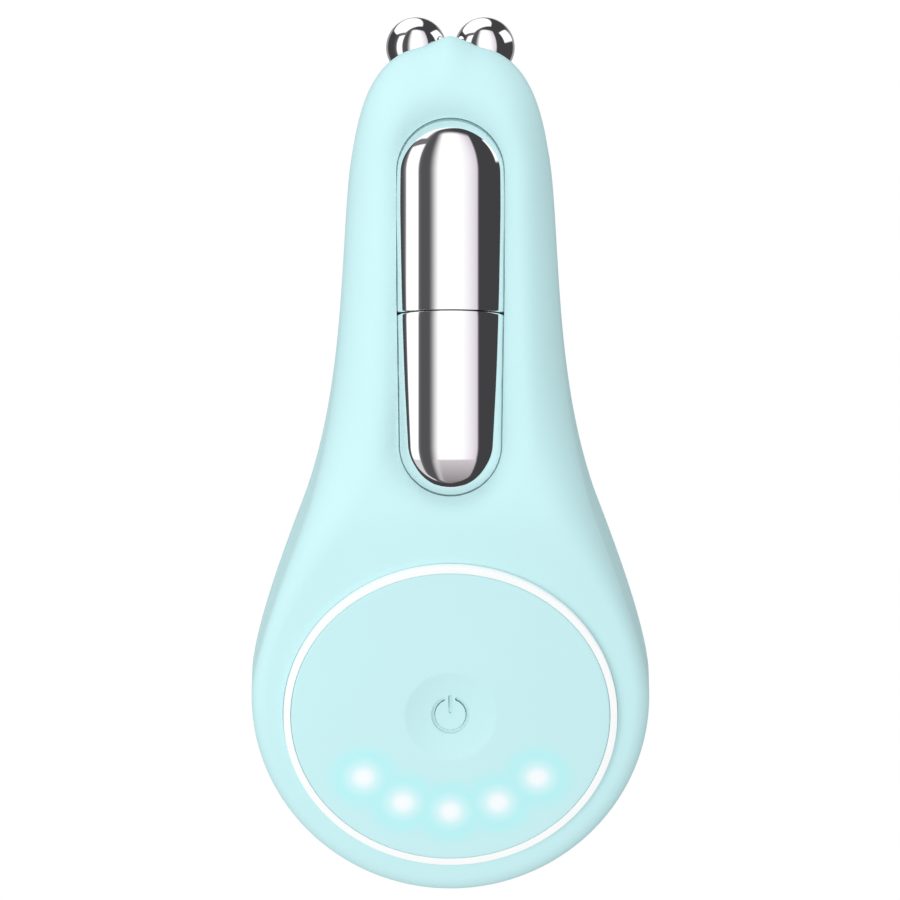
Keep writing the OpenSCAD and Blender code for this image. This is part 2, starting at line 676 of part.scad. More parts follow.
module ball(side_x) placed() translate([side_x * ball_pitch / 2, ball_y, ball_z]) {
    sphere(ball_r);
    rotate([90, 0, 0]) cylinder(r = stud_r, h = ball_y - holder_y + nut_t + 0.5);
}
module ball_left() color("#C9CBD0") ball(-1);
module ball_right() color("#C9CBD0") ball(1);

module cavity(clear) ring_solid([
    level_ring(wall + 1.5 + clear, wall + 0.05),
    level_ring(wall + clear, wall + 1.5),
    level_ring(wall + clear, part_z - 3.2),
    level_ring(wall + lip_t + clear, part_z - 2.1),
    level_ring(wall + lip_t + clear, part_z + lip_h)
]);
module ball_holder() color(dark) placed() difference() {
    intersection() {
        cavity(0.15);
        translate([-base_w / 2, holder_y, 0]) cube([base_w, 30, part_z + 0.6]);
    }
    for (x = [-1, 1]) translate([x * ball_pitch / 2, ball_y, ball_z]) {
        sphere(ball_r + 0.1);
        rotate([90, 0, 0]) cylinder(r = stud_r + 0.05, h = 30);
    }
    translate([0, tip_screw_y, 0]) {
        cylinder(r = post_r + 0.1, h = head_z + 1.2);
        cylinder(r = screw_r, h = head_z + 5.4);
    }
}
module ball_nuts() color("silver") placed() for (x = [-1, 1])
    translate([x * ball_pitch / 2, holder_y, ball_z]) rotate([90, 0, 0]) difference() {
        cylinder(r = 2.1, h = nut_t, $fn = 6);
        translate([0, 0, -1]) cylinder(r = stud_r, h = nut_t + 2);
    }

// ---------------------------------------------------------------- power

module battery_pad() color("#4A4A4A") placed()
    translate([0, cell_y, wall]) chip(cell.y - 2, cell.x - 2, cell_pad_t);
module battery_cell() color("#B9BEC4") placed()
    translate([0, cell_y, wall + cell_pad_t]) linear_extrude(cell.z) round_rect(cell.y, cell.x, 1.2);
module charge_board() color(green) placed()
    translate([-charge_w / 2, charge_y, charge_z]) cube([charge_w, charge_l, board_t]);
module charge_socket() color("silver") placed() translate([0, 0.4, charge_z + board_t + socket.z / 2])
    rotate([-90, 0, 0]) difference() {
        linear_extrude(socket.y) round_rect(socket.x, socket.z, socket_r);
        translate([0, 0, -1]) linear_extrude(socket.y - 0.5) difference() {
            round_rect(socket.x - 0.7, socket.z - 0.7, socket_r - 0.35);
            square([socket.x - 2.2, 0.7], center = true);
        }
    }

// ---------------------------------------------------------------- motor

module on_motor() translate([0, motor_y, motor_z]) rotate([-90, 0, 0]) children();
module motor_can() color("#9DA1A6") placed() on_motor() difference() {
    union() {
        intersection() {
            cylinder(d = motor_d, h = motor_l);
            translate([-motor_d / 2, -motor_d * 0.42, -1]) cube([motor_d, motor_d * 0.84, motor_l + 2]);
        }
        translate([0, 0, motor_l]) cylinder(r = 1.2, h = 0.5);
    }
    translate([0, 0, 1.5]) cylinder(r = shaft_r + slip / 2, h = motor_l);
}
module motor_shaft() color("silver") placed() on_motor() translate([0, 0, 1.6])
    cylinder(r = shaft_r, h = motor_l + 1 + weight_l - 1.6);
module motor_weight() color("#C9A24A") placed() on_motor() translate([0, 0, motor_l + 0.8]) difference() {
    union() {
        intersection() {
            cylinder(r = weight_r, h = weight_l);
            translate([-weight_r, 0, 0]) cube([2 * weight_r, weight_r, weight_l]);
        }
        cylinder(r = 1.1, h = weight_l);
    }
    translate([0, 0, -1]) cylinder(r = shaft_r, h = weight_l + 2);
}
module motor_sleeve() color("#2B2B2B") placed() difference() {
    translate([-motor_d / 2 - 1, motor_y + 1, wall]) cube([motor_d + 2, motor_l - 2, motor_z - wall + 0.4]);
    on_motor() intersection() {
        cylinder(d = motor_d + 0.02, h = motor_l + 1);
        translate([-motor_d, -motor_d, 0]) cube([2 * motor_d, motor_d * 1.42 + 0.01, motor_l + 1]);
    }
}

// ---------------------------------------------------------------- leads

function neck_point3(x, q, m) = let (p = neck_yz(q, m)) [x, p.x, p.y];
function driver_pad(x, q) = neck_point3(x, q, driver_m - board_t - lead_r);
module battery_leads() color("firebrick") placed() for (x = [-1, 1]) let (
    a = [x * 4, cell_y + cell.x / 2, wall + cell_pad_t + cell.z / 2],
    d = driver_pad(x * 5.2, driver_lo + 1.5)
) lead([
    a, a + [0, 2, 0], a + [x * 0.6, 5, 1.5],
    [x * 4.9, d.y - 2.5, d.z - 6], [x * 5.2, d.y - 0.5, d.z - 2.5], d
]);

module motor_leads() color("royalblue") placed() for (x = [-1, 1]) let (
    a = [x * 1.8, motor_y, motor_z],
    d = driver_pad(x * 3.5, driver_hi - 10)
) lead([a, a + [0, -1.5, 0], a + [x * 0.8, -3, 1], [x * 3.4, d.y - 1, d.z - 1.6], d]);

module ball_leads() color("gold") placed() for (x = [-1, 1]) let (
    a = [x * ball_pitch / 2, holder_y - nut_t - 0.5, ball_z],
    d = driver_pad(x * 6.8, driver_hi - 2)
) lead([
    a, a + [0, -1, 0], a + [x, -2, 0.4], a + [x * 1.9, -4.5, 1.5],
    [x * 6.9, d.y + 3, d.z - 3], [x * 6.8, d.y + 0.6, d.z - 1], d
]);

// They rise in front of the battery to the underside of the face board
module charge_leads() color("black") placed() for (x = [-1, 1]) let (
    a = [x * (charge_w / 2 - 1), charge_y + charge_l - 1, charge_z + board_t + lead_r],
    p = (charge_y + charge_l - 2.7 - face_y) / cos(face_tilt),
    d = face_yz(p, board_n - board_t - lead_r)
) lead([
    a, a + [x * 1.2, -0.1, 0.2], a + [x * 1.9, -0.3, 1.2],
    [a.x + x * 1.9, d.x, d.y - 1], [a.x + x * 1.6, d.x, d.y]
]);

front_shell();
back_shell();
shell_gasket();
push_disc();
light_ring();
lamp_baffle();
face_board();
level_lamps();
ring_lamps();
tact_switch();
switch_stem();
face_board_parts();
board_screws();
upper_electrode();
lower_electrode();
electrode_carrier();
driver_board();
driver_parts();
contact_pins();
flex_cable();
ball_left();
ball_right();
ball_holder();
ball_nuts();
battery_cell();
battery_pad();
battery_leads();
charge_board();
charge_socket();
charge_leads();
motor_can();
motor_sleeve();
motor_shaft();
motor_weight();
motor_leads();
ball_leads();
shell_screws();
screw_plugs();
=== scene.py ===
"""Looks of a hand-held facial toning device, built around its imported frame.

The device lies on its flat back: X is its width, +Y runs from the round base to the ball electrodes, and
+Z points out of its front. The housing, the push disc, the light ring and the electrodes are modelled here
as fine meshes from the same sizes as the frame. The inner parts are the frame's own solids with finishes.

Sizes are in millimetres, in a plan frame that starts at the lower end of the flat back. The scene is in
metres, with its origin under the middle of the length.
"""

from __future__ import annotations

import json
import logging
import math
from collections.abc import Callable, Iterable, Sequence
from dataclasses import dataclass, field
from enum import Enum

import bmesh
import bpy
import numpy as np
from mathutils import Matrix, Vector

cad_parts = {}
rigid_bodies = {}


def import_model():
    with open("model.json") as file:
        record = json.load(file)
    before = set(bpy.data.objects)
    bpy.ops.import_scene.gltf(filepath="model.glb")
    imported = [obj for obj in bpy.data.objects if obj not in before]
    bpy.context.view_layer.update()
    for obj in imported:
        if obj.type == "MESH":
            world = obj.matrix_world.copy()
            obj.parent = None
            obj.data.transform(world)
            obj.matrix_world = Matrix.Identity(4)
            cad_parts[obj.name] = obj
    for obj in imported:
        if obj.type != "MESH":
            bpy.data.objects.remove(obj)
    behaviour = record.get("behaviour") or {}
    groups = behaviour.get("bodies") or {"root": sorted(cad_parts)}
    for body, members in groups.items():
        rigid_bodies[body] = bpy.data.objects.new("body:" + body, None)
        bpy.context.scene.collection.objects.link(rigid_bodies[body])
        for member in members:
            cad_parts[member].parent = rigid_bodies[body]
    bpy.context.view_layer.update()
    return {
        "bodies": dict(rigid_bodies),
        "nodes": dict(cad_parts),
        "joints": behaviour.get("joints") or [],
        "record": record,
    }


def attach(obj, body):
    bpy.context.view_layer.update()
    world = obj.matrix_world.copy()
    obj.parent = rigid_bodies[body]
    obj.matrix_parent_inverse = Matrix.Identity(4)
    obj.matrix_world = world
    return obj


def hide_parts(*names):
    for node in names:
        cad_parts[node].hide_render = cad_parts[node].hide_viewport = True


log = logging.getLogger("toning_device")

MM = 0.001
TINY = 1e-6
BODY = "body"
BUTTON = "button"
STRIPE_SCALE = 6.3
CENTRE = (0.0, 0.0, 0.0)

Array = np.ndarray
Colour = tuple[float, float, float]
Pair = tuple[float, float]
Object = bpy.types.Object
Material = bpy.types.Material
Socket = bpy.types.NodeSocket


def smooth(t: Array | float) -> Array:
    """Returns t eased from 0 to 1, and held at both ends."""
    held = np.clip(t, 0.0, 1.0)
    return held * held * (3.0 - 2.0 * held)


def bezier(a: Array, b: Array, c: Array, d: Array, steps: int) -> Array:
    """Samples a cubic curve.

    Args:
        a, b, c, d: The curve's four handles, as points in the plane.
        steps: How many points to take, without the last handle.

    Returns:
        An array of steps points.
    """
    t = np.linspace(0.0, 1.0, steps, endpoint=False)[:, None]
    return (1 - t) ** 3 * a + 3 * (1 - t) ** 2 * t * b + 3 * (1 - t) * t * t * c + t**3 * d


# ------------------------------------------------------------------ sizes and places


@dataclass
class BodyForm:
    """Outline and heights of the body, in the plan frame."""

    base_w: float = 57.0
    base_y: float = 29.9
    waist_w: float = 41.0
    waist_y: float = 57.6
    waist_slope: float = 0.332
    flare_in: float = 7.5
    flare_out: float = 2.6
    neck_run: float = 28.6
    shoulder_run: float = 16.4
    grip_y: float = 89.0
    spine_half: float = 9.0
    nose_y: float = 124.6
    nose_x: float = 3.9
    nose_h: float = 1.53
    nose_z: float = 13.75
    nose_gable: float = 0.176
    edge_h: float = 13.0
    ridge_gap: float = 6.97
    ridge_k: float = 5.0
    face_tilt: float = math.radians(14.6)
    wall: float = 2.0
    part_z: float = 9.0
    seam: float = 0.3
    back_r: float = 4.0
    tip_slant: float = math.radians(30.0)
    slant_run: float = 24.0
    base_edge: float = 2.2
    neck_edge_w: float = 9.5
    neck_edge_h: float = 8.5
    neck_edge_from: float = 7.3
    tip_edge_w: float = 6.0
    tip_edge_h: float = 4.2
    tip_edge_from: float = 10.0
    tip_hold: float = 4.0
    least_edge: float = 0.6
    rim_w: float = 4.57
    rim_lo: float = 4.51
    ring_w: float = 1.0
    slip: float = 0.08
    fit: float = 0.06
    disc_proud: float = 0.75
    pad_w: float = 15.5
    pad_taper: float = 0.36
    taper_from: float = 3.2
    taper_run: float = 22.8
    pad_lo_gap: float = 3.51
    pad_hi_gap: float = 10.57
    pad_h: float = 3.8
    trough_h: float = 1.4
    trough_w: float = 4.5
    ball_d: float = 8.6
    ball_pitch: float = 9.8
    ball_back: float = 2.5
    ball_z: float = 5.2
    half_points: int = 200
    curve_steps: int = 200
    tip_steps: int = 60
    outline: Array = field(init=False)

    def __post_init__(self) -> None:
        """Works out what follows from the sizes above."""
        self.disc_r = self.base_w / 2 - self.rim_w - self.ring_w - self.slip
        self.ring_in = self.disc_r + self.slip
        self.ring_out = self.ring_in + self.ring_w
        self.face_y = self.rim_lo + self.ring_out * math.cos(self.face_tilt)
        self.ridge_y = self.face_y + (self.ring_out + self.ridge_gap) * math.cos(self.face_tilt)
        self.rise = math.tan(self.face_tilt)
        self.face_z = self.edge_h + self.face_y * self.rise
        self.ridge_z = self.edge_h + self.ridge_y * self.rise
        self.fall = (self.ridge_z - self.nose_z) / (self.nose_y - self.ridge_y)
        self.neck_tilt = math.atan(self.fall)
        pad_lo = self.ridge_y + self.pad_lo_gap
        pad_hi = self.nose_y - self.pad_hi_gap
        self.pad_y = (pad_lo + pad_hi) / 2
        self.pad_l = (pad_hi - pad_lo) / math.cos(self.neck_tilt)
        self.pad_r = self.pad_w / 2
        self.pad_z = self.ridge_z - (self.pad_y - self.ridge_y) * self.fall
        self.ball_r = self.ball_d / 2
        self.ball_y = self.nose_y - self.ball_back
        self.length = max(self.ball_y + self.ball_r, self.nose_y)
        self.spine_lo = self.grip_y - self.spine_half
        self.spine_hi = self.grip_y + self.spine_half
        half = self._half_outline()
        self.outline = np.vstack([half, half[-2:0:-1] * [-1, 1]])
        spine = np.column_stack([np.zeros(len(self.outline)), self.spine_y(self.outline[:, 1])])
        self.ray_length = np.linalg.norm(spine - self.outline, axis=1)
        self.ray = (spine - self.outline) / self.ray_length[:, None]

    def _half_outline(self) -> Array:
        """Draws the right half of the outline, from the lower end to the nose.

        Returns:
            Evenly spaced points in plan.
        """
        steps = self.curve_steps
        angles = np.radians(np.linspace(-90, 0, steps, endpoint=False))
        base = np.column_stack(
            [self.base_w / 2 * np.cos(angles), self.base_y * (1 + np.sin(angles))]
        )
        widest = np.array([self.base_w / 2, self.base_y])
        waist = np.array([self.waist_w / 2, self.waist_y])
        nose = np.array([self.nose_x, self.nose_y - self.nose_h])
        top = np.array([0.0, self.nose_y])
        slope = np.array([self.waist_slope, -1.0])
        flare_end = waist + self.flare_out * slope
        flare = bezier(widest, widest + [0, self.flare_in], flare_end, waist, steps)
        shoulder_end = nose + self.shoulder_run * np.array([1, -self.nose_gable])
        shoulder = bezier(waist, waist - self.neck_run * slope, shoulder_end, nose, steps)
        tip_start = nose + self.nose_x * self.nose_gable * np.array([-1, self.nose_gable])
        tip = bezier(nose, tip_start, np.array([self.nose_x / 4, self.nose_y]), top, self.tip_steps)
        path = np.vstack([base, flare, shoulder, tip, top])
        run = np.concatenate([[0], np.cumsum(np.linalg.norm(np.diff(path, axis=0), axis=1))])
        even = np.linspace(0, run[-1], self.half_points + 1)
        points = np.column_stack([np.interp(even, run, path[:, k]) for k in range(2)])
        points[[0, -1], 0] = 0.0
        return points

    def spine_y(self, y: Array) -> Array:
        """Finds where on the middle line the ring points close in.

        Args:
            y: The points' distances from the lower end.

        Returns:
            The distance of each point's target on the middle line.
        """
        low = (y - self.base_y) / (self.spine_lo - self.base_y)
        high = (y - self.spine_hi) / (self.nose_y - self.spine_hi)
        return np.select(
            [y <= self.base_y, y < self.spine_lo, y < self.spine_hi],
            [self.base_y, self.base_y + (self.spine_lo - self.base_y) * (2 * low**2 - low**3), y],
            self.spine_hi + (self.nose_y - self.spine_hi) * (high - high**2 + high**3 / 3),
        )

    def edge(self, y: Array, base: float, neck: float, tip: float) -> Array:
        """Blends a size of the rounded front edge along the body.

        Args:
            y: Distances from the lower end.
            base, neck, tip: The size's value at the base, the neck and the tip.

        Returns:
            The size at each distance.
        """
        first = self.base_y + self.neck_edge_from
        last = self.grip_y + self.tip_edge_from
        neck_share = smooth((y - first) / (self.spine_lo - first))
        tip_share = smooth((y - last) / (self.nose_y - last - self.tip_hold))
        return base + (neck - base) * neck_share + (tip - neck) * tip_share

    def front_z(self, x: Array, y: Array) -> Array:
        """Finds the height of the front, with the trough round the electrodes.

        Args:
            x, y: Points of the plan.

        Returns:
            The height at each point.
        """
        d = y - self.ridge_y
        ridge = self.ridge_z + (self.rise - self.fall) / 2 * d
        crown = ridge - (self.rise + self.fall) / 2 * np.hypot(d, self.ridge_k)
        run = (self.pad_l - self.pad_w) / 2
        along = np.maximum(np.abs(y - self.pad_y) / math.cos(self.neck_tilt) - run, 0)
        away = np.hypot(x, along) - self.pad_r
        return crown - self.trough_h * (1 - np.clip(away / self.trough_w, 0, 1)) ** 2

    def pad_reach(self, q: Array | float) -> Array:
        """Returns the half width of the electrodes at a distance q up from their middle."""
        share = np.clip((self.taper_from - np.asarray(q)) / self.taper_run, 0, 1)
        return self.pad_r - self.pad_taper * share

    def pad_outline(self, extra: float, steps: int = 64) -> Array:
        """Draws the outline of both electrodes in their own plane.

        Args:
            extra: How much wider than the electrodes it is, on all sides.
            steps: How many steps each side and each end has.

        Returns:
            The points of the closed outline.
        """
        low_r = float(self.pad_reach(-self.pad_l))
        high, low = self.pad_l / 2 - self.pad_r, low_r - self.pad_l / 2
        turn = np.linspace(0, math.pi, steps + 1)
        q = np.linspace(low, high, steps, endpoint=False)[1:]
        right = np.column_stack([self.pad_reach(q) + extra, q])
        upper = np.column_stack([np.cos(turn), np.sin(turn)]) * (self.pad_r + extra) + [0, high]
        lower = np.column_stack([np.cos(turn), np.sin(turn)]) * -(low_r + extra) + [0, low]
        return np.vstack([right, upper, right[::-1] * [-1, 1], lower])

    def front_ring(self, q: float, g: float, sunk: float = 0.0) -> Array:
        """Draws one ring of the front surface.

        Args:
            q: From 0 at the foot of the rounded edge to 1 at its top.
            g: From 0 at the top of the edge to 1 at the middle line.
            sunk: How far the ring lies under the skin.

        Returns:
            The ring's points.
        """
        y = self.outline[:, 1]
        w = self.edge(y, self.base_edge, self.neck_edge_w, self.tip_edge_w)
        d = self.edge(y, self.base_edge, self.neck_edge_h, self.tip_edge_h)
        w, d = (np.maximum(size - sunk, self.least_edge) for size in (w, d))
        angle = math.radians(90 * q)
        inset = sunk + w * (1 - math.cos(angle)) + g * (self.ray_length - sunk - w)
        p = self.outline + self.ray * inset[:, None]
        z = self.front_z(p[:, 0], p[:, 1]) - sunk - d * (1 - math.sin(angle))
        return np.column_stack([p, z])

    def level_ring(self, inset: float, z: float, g: float = 0.0) -> Array:
        """Draws one level ring of the sides or the back, with the lean of the end wall under the nose.

        Args:
            inset: How far the ring lies inside the outline.
            z: Its height.
            g: From 0 there to 1 at the middle line.

        Returns:
            The ring's points.
        """
        reach = inset + g * (self.ray_length - inset)
        p = self.outline + self.ray * reach[:, None]
        first = self.nose_y - self.slant_run
        share = smooth((p[:, 1] - first) / (self.nose_y - first - self.tip_hold))
        back = math.tan(self.tip_slant) * max(self.part_z - z, 0) * share
        return np.column_stack([p[:, 0], p[:, 1] - back, np.full(len(p), z)])


@dataclass(frozen=True)
class Place:
    """A frame on the body: its own X is the body's, its own Y runs up the surface and its Z out of it."""

    y: float
    z: float
    tilt: float

    def to_body(self, points: Array) -> Array:
        """Moves points of this frame into the plan frame.

        Args:
            points: One point, or one to a row.

        Returns:
            The moved points, one to a row.
        """
        p = np.asarray(points, float).reshape(-1, 3)
        c, s = math.cos(self.tilt), math.sin(self.tilt)
        up = p[:, 1] * c - p[:, 2] * s + self.y
        out = p[:, 1] * s + p[:, 2] * c + self.z
        return np.column_stack([p[:, 0], up, out])


FORM = BodyForm()
FACE = Place(FORM.face_y, FORM.face_z, FORM.face_tilt)
NECK = Place(FORM.pad_y, FORM.pad_z, -FORM.neck_tilt)
LEVEL = Place(0.0, 0.0, 0.0)


def to_scene(points: Array) -> Array:
    """Returns points of the plan frame in the scene's metres."""
    return (np.asarray(points, float) - [0, FORM.length / 2, 0]) * MM


# ------------------------------------------------------------------ mesh helpers


def new_object(name: str, points: Array, faces: Iterable[Sequence[int]]) -> Object:
    """Makes a mesh object from points of the plan frame.

    Args:
        name: The object's name.
        points: The vertices.
        faces: The faces, as runs of vertex numbers.

    Returns:
        The object, with doubles merged and its faces turned outward.
    """
    mesh = bpy.data.meshes.new(name)
    mesh.from_pydata([tuple(p) for p in to_scene(points)], [], [tuple(f) for f in faces])
    build = bmesh.new()
    build.from_mesh(mesh)
    bmesh.ops.remove_doubles(build, verts=build.verts, dist=1e-7)
    bmesh.ops.dissolve_degenerate(build, edges=build.edges, dist=1e-8)
    bmesh.ops.recalc_face_normals(build, faces=build.faces)
    build.to_mesh(mesh)
    build.free()
    obj = bpy.data.objects.new(name, mesh)
    bpy.context.scene.collection.objects.link(obj)
    return obj


def loop_faces(rows: int, columns: int, closed: bool = True, joined: bool = False) -> list[list[int]]:
    """Lists the quads of a grid of vertices.

    Args:
        rows: How many rows there are.
        columns: How many vertices a row has.
        closed: Whether each row closes on itself.
        joined: Whether the last row meets the first.

    Returns:
        The quads, as vertex numbers.
    """
    found = []
    for r in range(rows if joined else rows - 1):
        a, b = r * columns, (r + 1) % rows * columns
        for i in range(columns if closed else columns - 1):
            j = (i + 1) % columns
            found.append([a + i, a + j, b + j, b + i])
    return found


def lofted(name: str, rings: Sequence[Array]) -> Object:
    """Makes a closed solid through rings that follow the body's outline.

    Args:
        name: The object's name.
        rings: The rings in order. The first and the last get a cap of strips.

    Returns:
        The solid.
    """
    columns = len(rings[0])
    faces = loop_faces(len(rings), columns)
    for start in (0, (len(rings) - 1) * columns):
        for i in range(columns // 2):
            corners = [i, i + 1, (columns - i - 1) % columns, (columns - i) % columns]
            faces.append([start + v for v in dict.fromkeys(corners)])
    return new_object(name, np.vstack(rings), faces)


def lathed(name: str, profile: Sequence[Pair], place: Place, turns: int = 192,
           at: Sequence[float] = CENTRE, lift: Callable[[Array], Array] | None = None,
           joined: bool = False) -> Object:
    """Turns a profile round the Z axis of a place.

    Args:
        name: The object's name.
        profile: Points as radius and height.
        place: The frame whose Z axis is the axis.
        turns: How many steps the circle has.
        at: Where the axis stands in that frame.
        lift: A function that moves the points before they are placed.
        joined: Whether the profile closes on itself.

    Returns:
        The turned solid.
    """
    angles = np.linspace(0, 2 * math.pi, turns, endpoint=False)
    points = np.vstack([
        np.column_stack([r * np.cos(angles), r * np.sin(angles), np.full(turns, z)]) for r, z in profile
    ])
    if lift is not None:
        points = lift(points)
    return new_object(name, place.to_body(points + np.asarray(at, float)),
                      loop_faces(len(profile), turns, joined=joined))


def prism(name: str, outline: Array, low: float, high: float, place: Place) -> Object:
    """Makes a straight prism.

    Args:
        name: The object's name.
        outline: Its outline in the plane of a place.
        low, high: Where it starts and ends, along that place's Z axis.
        place: The place.

    Returns:
        The prism.
    """
    count = len(outline)
    rows = [np.column_stack([outline, np.full(count, z)]) for z in (low, high)]
    faces = loop_faces(2, count) + [list(range(count)), list(range(count, 2 * count))]
    return new_object(name, place.to_body(np.vstack(rows)), faces)


def rounded(r: float, z: float, edge: float, side: int, steps: int) -> list[Pair]:
    """Draws the quarter round at the top of a turned wall.

    Args:
        r: The wall's radius.
        z: The height of its top.
        edge: The radius of the round.
        side: 1 where the solid lies outside the wall, and -1 where it lies inside.
        steps: How many points the round has.

    Returns:
        Points as radius and height, from the wall to the top.
    """
    return [(r + side * edge * (1 - math.cos(a)), z - edge * (1 - math.sin(a)))
            for a in np.radians(np.linspace(0, 90, steps))]


def round_box(width: float, height: float, r: float, steps: int = 10) -> Array:
    """Draws a rectangle with rounded corners.

    Args:
        width, height: The rectangle's size.
        r: The radius of its corners.
        steps: How many points each corner has.

    Returns:
        The points of the closed outline.
    """
    corners = []
    for k, (sx, sy) in enumerate([(1, 1), (-1, 1), (-1, -1), (1, -1)]):
        a = np.linspace(k * math.pi / 2, (k + 1) * math.pi / 2, steps)
        corners.append(np.column_stack([
            sx * (width / 2 - r) + r * np.cos(a), sy * (height / 2 - r) + r * np.sin(a)
        ]))
    return np.vstack(corners)


def drill(r: float, low: float, high: float, place: Place, turns: int,
          at: Sequence[float] = CENTRE) -> Object:
    """Makes a round straight cutter.

    Args:
        r: Its radius.
        low, high: Where it starts and ends, along the place's Z axis.
        place: The frame that it stands in.
        turns: How many steps its circle has.
        at: Where its axis stands in that frame.

    Returns:
        The cutter.
    """
    return lathed("hole", [(0, low), (r, low), (r, high), (0, high)], place, turns, at)


def ball_cutter(r: float, at: Sequence[float], steps: int = 49) -> Object:
    """Makes a fine ball as a cutter, at a point of the plan frame."""
    profile = [(r * math.sin(a), r * math.cos(a)) for a in np.linspace(0, math.pi, steps)]
    return lathed("seat", profile, LEVEL, 2 * (steps - 1), at)


def cut(obj: Object, cutters: Iterable[Object]) -> None:
    """Cuts each cutter out of an object and removes it.

    Args:
        obj: The object to cut.
        cutters: The cutters, in order.
    """
    for cutter in cutters:
        change = obj.modifiers.new("cut", "BOOLEAN")
        change.operation = "DIFFERENCE"
        change.solver = "EXACT"
        change.object = cutter
        bpy.context.view_layer.objects.active = obj
        bpy.ops.object.modifier_apply(modifier=change.name)
        bpy.data.objects.remove(cutter)


def dress(obj: Object, material: Material) -> None:
    """Gives an object one material.

    Args:
        obj: The object.
        material: Its material.
    """
    obj.data.materials.clear()
    obj.data.materials.append(material)


def install(piece: Object, node: str, body: str, material: Material,
            sharp: float = 40.0) -> Object:
    """Shades and dresses a piece, and puts it in the place of a CAD node.

    Args:
        piece: The piece.
        node: The CAD node that it stands for.
        body: The body that it moves with.
        material: Its material.
        sharp: The angle in degrees from which an edge stays hard.

    Returns:
        The piece.
    """
    piece.data.shade_smooth()
    piece.data.set_sharp_from_angle(angle=math.radians(sharp))
    dress(piece, material)
    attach(piece, body)
    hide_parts(node)
    return piece


# ------------------------------------------------------------------ finishes


class Nodes:
    """A short way to lay nodes in a material or a world."""

    def __init__(self, owner: Material | bpy.types.World) -> None:
        """Turns on the nodes of a material or a world."""
        owner.use_nodes = True
        self.tree = owner.node_tree

    def add(self, kind: str, **values: object) -> bpy.types.Node:
        """Adds a node.

        Args:
            kind: The node's type, without its common prefix.
            **values: Properties of the node, or values of its inputs where the name starts with in_.

        Returns:
            The node.
        """
        node = self.tree.nodes.new("ShaderNode" + kind)
        for key, value in values.items():
            if key.startswith("in_"):
                node.inputs[key[3:]].default_value = value
            else:
                setattr(node, key, value)
        return node

    def link(self, source: Socket, target: Socket) -> None:
        """Joins two sockets."""
        self.tree.links.new(source, target)

    def feed(self, targets: Iterable[Socket], values: Iterable[object]) -> None:
        """Feeds sockets in order.

        Args:
            targets: The sockets to feed.
            values: What each gets: a socket to link, a value to set, or None to leave it.
        """
        for target, value in zip(targets, values):
            if isinstance(value, Socket):
                self.link(value, target)
            elif value is not None:
                target.default_value = value

    def math(self, operation: str, a: object, b: object = None, clamp: bool = False) -> Socket:
        """Adds a sum.

        Args:
            operation: What it does.
            a, b: Its values or sockets.
            clamp: Whether the result is held between 0 and 1.

        Returns:
            The result.
        """
        node = self.add("Math", operation=operation, use_clamp=clamp)
        self.feed(node.inputs, (a, b))
        return node.outputs[0]

    def vector(self, operation: str, a: Socket, b: object = None) -> Socket:
        """Adds a sum of vectors.

        Args:
            operation: What it does.
            a, b: Its vectors or sockets.

        Returns:
            The result, which is a number for a distance, a length or a dot product.
        """
        node = self.add("VectorMath", operation=operation)
        self.feed(node.inputs, (a, b))
        number = operation in ("DISTANCE", "LENGTH", "DOT_PRODUCT")
        return node.outputs["Value" if number else "Vector"]

    def mix(self, share: Socket, a: Socket | Colour, b: Socket | Colour) -> Socket:
        """Mixes two colours.

        Args:
            share: How much of the second colour shows.
            a, b: The colours.

        Returns:
            The mixed colour.
        """
        node = self.add("Mix", data_type="RGBA")
        colours = [c if isinstance(c, Socket) else (*c, 1.0) for c in (a, b)]
        self.feed((node.inputs["Factor"], node.inputs[6], node.inputs[7]), (share, *colours))
        return node.outputs[2]

    def ramp(self, value: Socket, source: Pair, result: Pair, kind: str = "LINEAR") -> Socket:
        """Maps a value from one range to another, and holds it at both ends.

        Args:
            value: The value.
            source: The range that it comes from.
            result: What the ends of that range become.
            kind: How it runs between them.

        Returns:
            The mapped value.
        """
        node = self.add("MapRange", interpolation_type=kind)
        self.feed(node.inputs, (value, *source, *result))
        return node.outputs[0]

    def spread(self, value: Socket, low: float, high: float) -> Socket:
        """Maps the usual range of a noise to another range, and returns the result."""
        return self.ramp(value, (0.3, 0.7), (low, high))

    def object_point(self) -> Socket:
        """Returns the surface point in the object's own metres."""
        return self.add("TexCoord").outputs["Object"]

    def noise(self, size_mm: float, detail: float = 3.0, stretch: Sequence[float] = (1, 1, 1)) -> Socket:
        """Adds noise.

        Args:
            size_mm: How big its features are.
            detail: How much finer detail it has.
            stretch: How much denser it is along each axis.

        Returns:
            Its value.
        """
        mapping = self.add("Mapping", in_Scale=tuple(stretch))
        self.link(self.object_point(), mapping.inputs["Vector"])
        node = self.add("TexNoise", in_Scale=1 / (size_mm * MM), in_Detail=detail)
        self.link(mapping.outputs[0], node.inputs["Vector"])
        return node.outputs["Fac"]


class Surface(Nodes):
    """The nodes of a new material."""

    def __init__(self, name: str) -> None:
        """Makes the material.

        Args:
            name: Its name.
        """
        self.material = bpy.data.materials.new(name)
        super().__init__(self.material)
        self.shader = self.tree.nodes["Principled BSDF"]
        self.output = self.tree.nodes["Material Output"]

    def set(self, label: str, value: object) -> None:
        """Sets a value, or links one, to one of the shader's own inputs."""
        self.feed([self.shader.inputs[label]], [value])

    def bump(self, height: Socket, depth_mm: float, strength: float = 1.0) -> None:
        """Lays a bump on the shader.

        Args:
            height: The pattern that it follows.
            depth_mm: How deep it is.
            strength: How much of it shows.
        """
        node = self.add("Bump", in_Strength=strength, in_Distance=depth_mm * MM)
        self.link(height, node.inputs["Height"])
        self.set("Normal", node.outputs[0])


